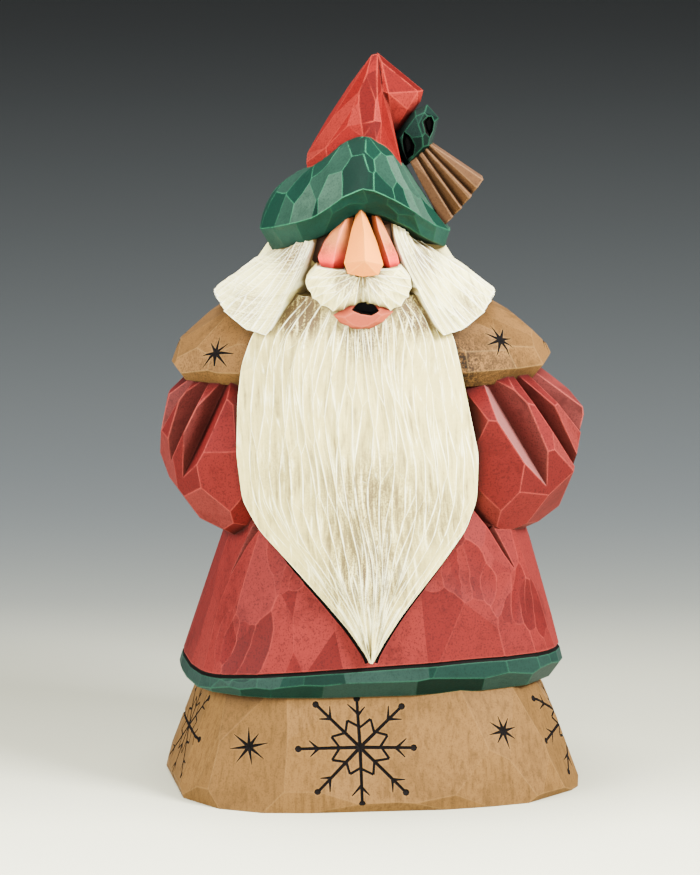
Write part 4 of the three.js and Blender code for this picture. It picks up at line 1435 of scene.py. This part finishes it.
def make_bow():
    knot = [(11.4, -8, 159.6), (10.4, -7.4, 162.4), (11.6, -7.4, 157)]
    points = [p for y, wide, high in BOW_LEVELS for p in drawn_in(BOW_OUTLINE, y, BOW, wide, high)]
    bow = toned(hull(points + knot, "bow_green"), BOW_TONES)
    cutters = []
    for outline, middle in HOLLOWS:
        cutters.append(hull(drawn_in(outline, -9) + drawn_in(outline, -3, middle, 0.4, 0.5), "mouth_black"))
    return carved(bow, cutters)


# The tassel, at (x, z): the two corners of its neck and of its end, and the depths of its front and back
NECK, END = [(8, 154), (13.6, 157.4)], [(16.6, 137.4), (26.2, 148.8)]
NECK_DEPTHS, END_DEPTHS = (-5.2, 2.2), (-4.6, 3.6)
SWELL = [(20.6, -5.6, 141.5), (23.2, -5.6, 144.7), (15, 3.6, 147), (20, 3, 152)]
# Where the cuts between its slats start and end, as shares of its neck and of its end, and how far past it
SLATS = [(0.3, 0.24), (0.58, 0.45), (0.8, 0.7)]
SLAT_PAST = 0.1


def between(pair, share):
    return [pair[0][k] + (pair[1][k] - pair[0][k]) * share for k in (0, 1)]


def make_tassel():
    points = [(x, y, z) for x, z in NECK for y in NECK_DEPTHS]
    points += [(x, y, z) for x, z in END for y in END_DEPTHS]
    tassel = hull(points + SWELL, "tassel_brown")
    across = Vector((END[1][0] - END[0][0], 0, END[1][1] - END[0][1]))
    cutters = []
    for y, out in ((-5.2, -BACKWARD), (3.4, BACKWARD)):
        for near_share, far_share in SLATS:
            start, end = between(NECK, near_share), between(END, far_share)
            past = [end[k] * (1 + SLAT_PAST) - start[k] * SLAT_PAST for k in (0, 1)]
            near, far = (Vector((place[0], y, place[1])) for place in (start, past))
            sections = [(near, out, 0.2, 0.7, 0.7), (far, out, 0.3, 2.2, 1.7)]
            cutters += v_cut(sections, across, "tassel_brown")
    return carved(tassel, cutters)


# Paints


def linear(r, g, b):
    """A colour as paint charts give it, from 0 to 255, for the shader."""
    values = []
    for value in (r, g, b):
        c = value / 255
        values.append(c / 12.92 if c <= 0.04045 else ((c + 0.055) / 1.055) ** 2.4)
    return (*values, 1)


class Value:
    """A number that changes over the surface, so that sums on it become Math nodes."""

    def __init__(self, finish, socket):
        self.finish = finish
        self.socket = socket

    def math(self, operation, other=None, turned=False):
        pair = (other, self) if turned else (self, other)
        return self.finish.node("Math", {"operation": operation}, *[v for v in pair if v is not None])

    def __add__(self, other):
        return self.math("ADD", other)

    def __sub__(self, other):
        return self.math("SUBTRACT", other)

    def __rsub__(self, other):
        return self.math("SUBTRACT", other, turned=True)

    def __mul__(self, other):
        return self.math("MULTIPLY", other)

    __radd__, __rmul__ = __add__, __mul__


class Finish:
    """A paint's node tree."""

    def __init__(self, name, roughness, gloss):
        self.material = bpy.data.materials.new(name)
        self.material.use_nodes = True
        self.tree = self.material.node_tree
        self.shader = self.tree.nodes["Principled BSDF"]
        self.use("Roughness", roughness)
        self.use("Specular IOR Level", gloss)

    def node(self, kind, settings, *values, output=0, numbered=None, **named):
        """Adds a node: its settings first, a ramp's stops among them, then its sockets' values or links."""
        made = self.tree.nodes.new("ShaderNode" + kind)
        for key, value in settings.items():
            if key == "stops":
                set_stops(made.color_ramp, value)
            else:
                setattr(made, key, value)
        for key, value in [*enumerate(values), *(numbered or {}).items(), *named.items()]:
            self.put(made.inputs[key], value)
        return Value(self, made.outputs[output])

    def put(self, socket, value):
        if isinstance(value, Value):
            self.tree.links.new(value.socket, socket)
        else:
            socket.default_value = value

    def blend(self, share, first, second):
        """A mix of two colours, whose sockets on the Mix node have no names of their own."""
        return self.node("Mix", {"data_type": "RGBA"}, numbered={0: share, 6: first, 7: second}, output=2)

    def step(self, value, low, high):
        """An eased step of a value from 0 at the low end to 1 at the high one."""
        return self.node("MapRange", {"interpolation_type": "SMOOTHSTEP"}, value, low, high)

    def noise(self, place, scale, detail, rough):
        return self.node("TexNoise", {}, Vector=place, Scale=scale, Detail=detail, Roughness=rough)

    def mark(self, name):
        """A number that the carving's faces or corners have."""
        return self.node("Attribute", {"attribute_name": name}, output="Fac")

    def use(self, socket, value):
        self.put(self.shader.inputs[socket], value)


def set_stops(ramp, stops):
    """Spreads a smooth colour ramp's stops: (position, colour)."""
    ramp.interpolation = "B_SPLINE"
    for i, (position, colour) in enumerate(stops):
        stop = ramp.elements[i] if i < 2 else ramp.elements.new(position)
        stop.position = position
        stop.color = colour


# The textures in the paint: (scale, detail, roughness)
FINE, PATCHES, CLOUDS = (2300, 2.0, 0.6), (620, 3.0, 0.6), (75, 3.0, 0.6)
VEINS, BRISTLES = (900, 4.0, 0.6), (1.6, 3.0, 0.6)
# A dark facet's share of the paint's colour, and a light one's with what is added
DARK_SHARE, LIGHT_SHARE, LIGHTER = 0.45, 1.35, 0.01
# How the grain is stretched up the block, and how bristle marks are across and along a gouge cut
GRAIN_STRETCH, BRISTLES_ACROSS, BRISTLES_ALONG = (1, 1, 0.08), 0.65, 0.06
# Dark patches lie round places at this depth, and the depth counts less than the width and the height
PATCH_DEPTH, PATCH_SHARES, PATCH_CORE = -11, (1, 0.4, 1), 0.2
# The light bump of the finest speckle: how strong, and how deep in metres
BUMP_STRENGTH, BUMP_DEPTH = 0.2, 0.0003


def brushed(finish, tone, streaks, texture, bristles, rub, wash_and_shade_colour):
    """Bristle marks along the gouge cuts: dark where the paint is worn or settled, and pale between."""
    worn = finish.step(texture, 0.2, 0.7)
    tone = finish.blend(finish.step(bristles, 0.5, 0.68) * (worn * streaks), tone, wash_and_shade_colour)
    settled = finish.step(finish.mark("hollow"), 0.1, 0.8) * worn * finish.step(bristles, 0.4, 0.55)
    tone = finish.blend(settled * (streaks * 0.5), tone, wash_and_shade_colour)
    return finish.blend(finish.step(bristles, 0.44, 0.3) * 0.5, tone, rub)


def stained_and_shaded(finish, tone, place, grit, stain_and_shade, wash_and_shade_colour):
    """Patches of stain and painted shade, broken up by grit: each is (x, z, how far it reaches, how much).
    """
    flat = finish.node("VectorMath", {"operation": "MULTIPLY"}, place, PATCH_SHARES)
    for x, z, far, amount in stain_and_shade:
        middle = (x * MM, PATCH_DEPTH * MM, z * MM)
        away = finish.node("VectorMath", {"operation": "DISTANCE"}, flat, middle, output="Value")
        left = finish.step(away, far * MM, far * PATCH_CORE * MM) * finish.step(grit, 0.34, 0.58)
        tone = finish.blend(left * amount, tone, wash_and_shade_colour)
    return tone


def paint(name, body, rub, wash_and_shade_colour, roughness, facets=0.5, rubbing=0.85, washing=0.9, reach=3.5,
          speckle=0.35, grain=0.0, ridge=0.55, dusty=None, fade=None, streaks=0.0, spots=0.3, stain_and_shade=(),
          gloss=0.05):
    """Thin paint over knife cuts: rubbed pale on the ridges, washed dark in the hollows, with shade painted
    in.

    The colours are body, rub, the wash, a paler one for light facets that is partly painted light, and
    fade's, which sets in between two heights. The shares are how strongly facets differ, ridges are rubbed,
    hollows washed, and so on. Ridge and reach are how wide a rubbed ridge is and how far the wash reaches
    out of a
    hollow: close in it is the wash a carving keeps in its hollows, further out it is painted shade in
    recesses.
    """
    body, rub, wash_and_shade_colour = (linear(*colour) for colour in (body, rub, wash_and_shade_colour))
    dark = (*[c * DARK_SHARE for c in body[:3]], 1)
    # A light facet's colour: partly the paint's own paler tone, partly painted light
    light = linear(*dusty) if dusty else (*[min(1, c * LIGHT_SHARE + LIGHTER) for c in body[:3]], 1)
    finish = Finish(name, roughness, gloss)
    place = finish.node("TexCoord", {}, output="Object")
    normal = finish.node("NewGeometry", {}, output="Normal")
    eased = finish.node("Bevel", {"samples": 6}, ridge * MM)
    gap = finish.node("VectorMath", {"operation": "DISTANCE"}, eased, normal, output="Value")
    sides = {"samples": 8, "only_local": True}
    sky = finish.node("AmbientOcclusion", sides, Distance=reach * MM, output="AO")
    fine, patch, broad = (finish.noise(place, *texture) for texture in (FINE, PATCHES, CLOUDS))
    facet = finish.mark("tone")
    tone = finish.blend(finish.step(facet, 0.45, 0.95) * facets, body, light)
    tone = finish.blend(finish.step(facet, 0.4, 0.0) * facets, tone, dark)
    if fade:
        colour, low, high = fade
        rise = finish.node("SeparateXYZ", {}, place, output="Z")
        tone = finish.blend(finish.step(rise, low * MM, high * MM), tone, linear(*colour))
    if grain:
        stretched = finish.node("Mapping", {}, place, Scale=GRAIN_STRETCH)
        veins = finish.noise(stretched, *VEINS)
        tone = finish.blend(finish.step(veins, 0.45, 0.7) * grain, tone, dark)
    mottle = finish.step(broad + (patch - 0.5) * 0.5, 0.45, 0.75) * speckle
    tone = finish.blend(mottle, tone, dark)
    tone = finish.blend(finish.step(fine, 0.5, 0.66) * spots, tone, wash_and_shade_colour)
    grit = fine * 0.5 + patch * 0.5
    if streaks:
        lanes = (finish.mark("lane") * BRISTLES_ACROSS, finish.mark("run") * BRISTLES_ALONG, 0)
        bristles = finish.noise(finish.node("CombineXYZ", {}, *lanes), *BRISTLES)
        tone = brushed(finish, tone, streaks, broad + (patch - 0.5) * 0.7, bristles, rub, wash_and_shade_colour)
        grit = bristles * 0.6 + fine * 0.4
    # Patches of stain and of painted shade
    if stain_and_shade:
        tone = stained_and_shaded(finish, tone, place, grit, stain_and_shade, wash_and_shade_colour)
    # Where little sky is open: the carving's own wash in its hollows, and painted shade in recesses
    deep = 1 - finish.step(sky + (patch - 0.5) * 0.3, 0.35, 0.95)
    tone = finish.blend(deep * washing, tone, wash_and_shade_colour)
    edge = finish.step(gap, 0.02, 0.16) * finish.step(sky, 0.6, 0.9)
    edge = finish.node("Math", {"operation": "MAXIMUM"}, edge, finish.step(finish.mark("ridge"), 0.15, 0.7))
    edge = edge * finish.step(broad + (patch - 0.5) * 0.8, 0.2, 0.5) * rubbing
    tone = finish.blend(edge, tone, rub)
    finish.use("Base Color", tone)
    bumps = {"Strength": BUMP_STRENGTH, "Distance": BUMP_DEPTH, "Height": fine * 0.4 + patch}
    finish.use("Normal", finish.node("Bump", {}, Normal=eased, **bumps))


# Dark patches: painted shade where parts meet and under the nose, moustache and brim, and stains down the
# beard's middle: (x, z, how far it reaches, how much)
STAIN_AND_SHADE = {
    "cape_stain": [(17, 106, 12, 1.2), (-25, 106, 10, 0.8), (27, 103, 14, 0.6), (-44, 104, 9, 0.6)],
    "beard_cream": [
        (-2, 76, 20, 0.9), (-2, 59, 18, 1), (-3, 116, 11, 1.2), (-18, 120.5, 10.5, 1.5),
        (10, 120.5, 9.5, 1.5), (14, 72, 12, 0.6), (-22, 84, 10, 0.5),
    ],
    "hair_cream": [(-31, 121, 8, 0.7), (-20, 134, 8, 1.1), (12, 134, 8, 0.9), (23, 121, 8, 0.6)],
    "moustache_cream": [
        (-7, 128, 7, 1.5), (0, 128, 6, 1.2), (-3, 124, 5, 0.9), (-17, 124, 5, 0.8), (10, 124, 5, 0.8),
    ],
    "cheek_rouge": [(-12.5, 136, 5, 0.7), (5, 136, 5, 0.7)],
}
# Each paint: body colour, colour rubbed on the ridges, wash in the hollows (which also paints shade),
# roughness, and what differs
PAINT_CHART = {
    "stained_wood": ((97, 69, 34), (130, 98, 56), (42, 28, 14), 0.62, {
        "facets": 0.3, "rubbing": 0.3, "speckle": 0.45, "grain": 0.6, "reach": 5,
    }),
    "burnt_line": ((10, 7, 6), (26, 18, 14), (5, 3, 3), 0.7, {"rubbing": 0.2, "facets": 0.1}),
    "coat_red": ((80, 14, 13), (134, 46, 40), (26, 6, 6), 0.62, {
        "dusty": (108, 32, 29), "rubbing": 0.55, "facets": 0.55, "spots": 0.5, "speckle": 0.6,
        "gloss": 0.085,
    }),
    "sleeve_red": ((87, 21, 20), (142, 54, 48), (30, 10, 9), 0.62, {
        "dusty": (106, 42, 38), "rubbing": 0.6, "facets": 0.55, "spots": 0.5, "speckle": 0.6,
    }),
    "pleat_red": ((84, 34, 32), (140, 60, 53), (60, 25, 23), 0.62, {
        "washing": 0.4, "speckle": 1.0, "spots": 0.9,
    }),
    # A paler pink on the right sleeve's inner pleat walls: painted light
    "pleat_lit_pink": ((122, 72, 68), (144, 84, 78), (70, 34, 31), 0.55, {"speckle": 0.3, "washing": 0.4}),
    "hem_green": ((8, 32, 26), (34, 78, 58), (2, 7, 6), 0.45, {"rubbing": 0.5, "facets": 0.7}),
    # Its wash reaches far: painted shade where the cape meets the beard and hair
    "cape_stain": ((100, 70, 35), (130, 102, 60), (28, 20, 13), 0.6, {
        "facets": 0.4, "rubbing": 0.35, "speckle": 0.65, "reach": 7, "spots": 0.4, "washing": 0.7,
    }),
    "beard_cream": ((204, 190, 118), (255, 252, 206), (84, 68, 46), 0.6, {
        "washing": 0.75, "reach": 3, "speckle": 0.12, "ridge": 0.3, "facets": 0.2, "streaks": 0.6,
        "rubbing": 0.8, "spots": 0.1,
    }),
    "hair_cream": ((236, 227, 156), (255, 254, 224), (104, 82, 52), 0.6, {
        "washing": 0.9, "reach": 3, "speckle": 0.08, "ridge": 0.3, "facets": 0.3, "streaks": 0.6,
        "rubbing": 0.9, "spots": 0.08,
    }),
    "moustache_cream": ((240, 228, 152), (255, 254, 218), (98, 76, 48), 0.6, {
        "washing": 0.95, "reach": 3, "speckle": 0.1, "ridge": 0.3, "facets": 0.25, "streaks": 0.6,
        "rubbing": 0.8, "spots": 0.1,
    }),
    "lip_pink": ((158, 70, 46), (196, 104, 78), (70, 20, 15), 0.5, {
        "speckle": 0.05, "facets": 0.4, "spots": 0.1, "rubbing": 0.35,
    }),
    "mouth_black": ((8, 5, 4), (30, 20, 16), (3, 2, 2), 0.6, {"rubbing": 0.1}),
    "nose_flesh": ((238, 136, 42), (250, 178, 84), (58, 36, 24), 0.55, {
        "speckle": 0.04, "reach": 2.8, "facets": 0.35, "rubbing": 0.2, "spots": 0.05,
    }),
    "face_shade": ((66, 42, 30), (90, 60, 44), (30, 20, 14), 0.6, {"rubbing": 0.2}),
    "cheek_rouge": ((246, 34, 47), (248, 118, 104), (76, 36, 28), 0.42, {
        "speckle": 0.05, "facets": 0.35, "rubbing": 0.5, "washing": 0.7, "spots": 0.05,
        "fade": ((196, 114, 58), 131, 138.5),
    }),
    "hat_red": ((96, 11, 8), (150, 50, 38), (30, 6, 5), 0.65, {
        "dusty": (120, 36, 29), "reach": 2.5, "facets": 0.9, "rubbing": 0.6, "spots": 0.4,
    }),
    "brim_green": ((6, 38, 28), (44, 112, 78), (3, 12, 10), 0.66, {
        "dusty": (56, 80, 66), "facets": 0.95, "reach": 2.5, "rubbing": 0.65, "spots": 0.35,
    }),
    # Its wash reaches far: painted shade under the brim's crest
    "brim_under": ((7, 42, 34), (26, 70, 50), (4, 10, 8), 0.62, {
        "facets": 0.6, "rubbing": 0.4, "reach": 8, "washing": 0.55,
    }),
    "bow_green": ((4, 22, 17), (34, 84, 60), (2, 8, 7), 0.6, {"facets": 0.9, "rubbing": 0.35}),
    "tassel_brown": ((87, 59, 38), (128, 96, 66), (20, 11, 5), 0.6, {
        "washing": 0.9, "reach": 1.6, "rubbing": 0.5,
    }),
}
for name, (*colours, roughness, extra) in PAINT_CHART.items():
    paint(name, *colours, roughness, stain_and_shade=STAIN_AND_SHADE.get(name, ()), **extra)


def figure():
    """The whole carving, joined from the ground up, with the mouth cut before the hat and hair go on."""
    parts = [make_robe(), make_coat(), make_sleeve(-1, LEFT_PLEATS), make_sleeve(1, RIGHT_PLEATS)]
    parts += [make_forearm(side) for side in (-1, 1)] + [make_cuff(side) for side in (-1, 1)]
    parts += [make_mittens(), make_cape(), make_head(), make_nose()]
    parts += [make_cheek(LEFT_CHEEK), make_cheek(RIGHT_CHEEK), make_beard(), make_moustache(), make_lip()]
    body = carved(joined(parts), [mouth_cut()])
    return joined([body, make_hat(), make_tail(), make_brim(), make_hair(), make_bow(), make_tassel()])


santa = figure()
santa.name = "carved_santa"
santa.data.name = "carved_santa"
santa.data.transform(Matrix.Scale(MM, 4))


# An edge is crisp over this many degrees: between two tones or paints, and within one
LEAST_PARTED, LEAST_WITHIN = 4, 32


def crisp(ob):
    """Smooths each facet, and keeps every edge between two facets, and every steep one, crisp."""
    mesh = ob.data
    mesh.polygons.foreach_set("use_smooth", [True] * len(mesh.polygons))
    normals = [face.normal.copy() for face in mesh.polygons]
    kinds = [face.material_index for face in mesh.polygons]
    tones = [round(item.value, 4) for item in mesh.attributes["tone"].data]
    sides = {}
    for i, face in enumerate(mesh.polygons):
        for key in face.edge_keys:
            sides.setdefault(key, []).append(i)
    for edge in mesh.edges:
        i, j = sides[edge.key]
        angle = math.degrees(normals[i].angle(normals[j], 0))
        parted = kinds[i] != kinds[j] or tones[i] != tones[j]
        edge.use_edge_sharp = angle > (LEAST_PARTED if parted else LEAST_WITHIN)


crisp(santa)
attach(santa, "root")
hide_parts("santa_figure")


# Floor, light and camera, in metres and watts

# Painted light falloff: how pale the floor is at each distance behind the figure's middle
FLOOR_FALLOFF = [
    (-0.12, 0.8), (-0.05, 0.6), (0, 0.35), (0.07, 0.31), (0.19, 0.072), (0.44, 0.052), (0.82, 0.046),
    (1.24, 0.048), (1.9, 0.052), (3.2, 0.034),
]
# The floor's tint up to a distance and past it
NEAR_TINT, TINT_CHANGE, FAR_TINT = (1, 0.99, 0.74), 0.1, (0.9, 1, 1.01)
FLOOR_RADIUS, FLOOR_CORNERS = 12, 96


def plain_floor():
    bpy.ops.object.select_all(action="DESELECT")
    bpy.ops.mesh.primitive_circle_add(vertices=FLOOR_CORNERS, radius=FLOOR_RADIUS, fill_type="NGON")
    floor = bpy.context.object
    floor.name = "floor"
    finish = Finish("pale_floor", 0.9, 0.05)
    place = finish.node("TexCoord", {}, output="Object")
    behind = finish.node("SeparateXYZ", {}, place, output="Y")
    start, end = FLOOR_FALLOFF[0][0], FLOOR_FALLOFF[-1][0]
    stops = []
    for away, tone in FLOOR_FALLOFF:
        tint = NEAR_TINT if away < TINT_CHANGE else FAR_TINT
        stops.append((math.sqrt((away - start) / (end - start)), (*[tone * share for share in tint], 1)))
    share = finish.node("Math", {"operation": "SQRT"}, (behind - start) * (1 / (end - start)))
    finish.use("Base Color", finish.node("ValToRGB", {"stops": stops}, share))
    floor.data.materials.append(finish.material)


# Each lamp: its name, its place, the height on the figure's axis it aims at, its size and its power
LAMPS = [
    ("key", (0.95, -0.62, 0.8), 0.09, 0.4, 100),
    ("fill", (-1.05, -0.62, 0.5), 0.09, 0.7, 46),
    ("front", (-0.1, -1.4, 0.5), 0.09, 0.6, 21),
    ("top", (-0.1, 0.1, 1.2), 0.1, 0.5, 34),
]
ROOM_GREY, ROOM_STRENGTH = (0.6, 0.6, 0.6, 1), 0.85


def studio():
    for name, place, height, size, power in LAMPS:
        light = bpy.data.lights.new(name, "AREA")
        light.energy, light.size = power, size
        ob = bpy.data.objects.new(name, light)
        bpy.context.scene.collection.objects.link(ob)
        ob.location = place
        aim = Vector((0, 0, height)) - Vector(place)
        ob.rotation_euler = aim.to_track_quat("-Z", "Y").to_euler()
    world = bpy.data.worlds.new("studio")
    world.use_nodes = True
    room = world.node_tree.nodes["Background"]
    room.inputs["Color"].default_value = ROOM_GREY
    room.inputs["Strength"].default_value = ROOM_STRENGTH
    bpy.context.scene.world = world


# The camera: where it is, how many degrees it looks down, and its focal length over the picture's height
CAMERA_PLACE, CAMERA_DOWN, FOCAL_SHARE, SENSOR = (-0.006, -0.886, 0.246), 10.3215, 3663 / 875, 36


def camera():
    data = bpy.data.cameras.new("camera")
    data.sensor_width = SENSOR
    data.lens = FOCAL_SHARE * SENSOR
    data.clip_start, data.clip_end = 0.02, 60
    ob = bpy.data.objects.new("camera", data)
    bpy.context.scene.collection.objects.link(ob)
    ob.location = CAMERA_PLACE
    ob.rotation_euler = (math.radians(90 - CAMERA_DOWN), 0, 0)
    bpy.context.scene.camera = ob


plain_floor()
studio()
camera()
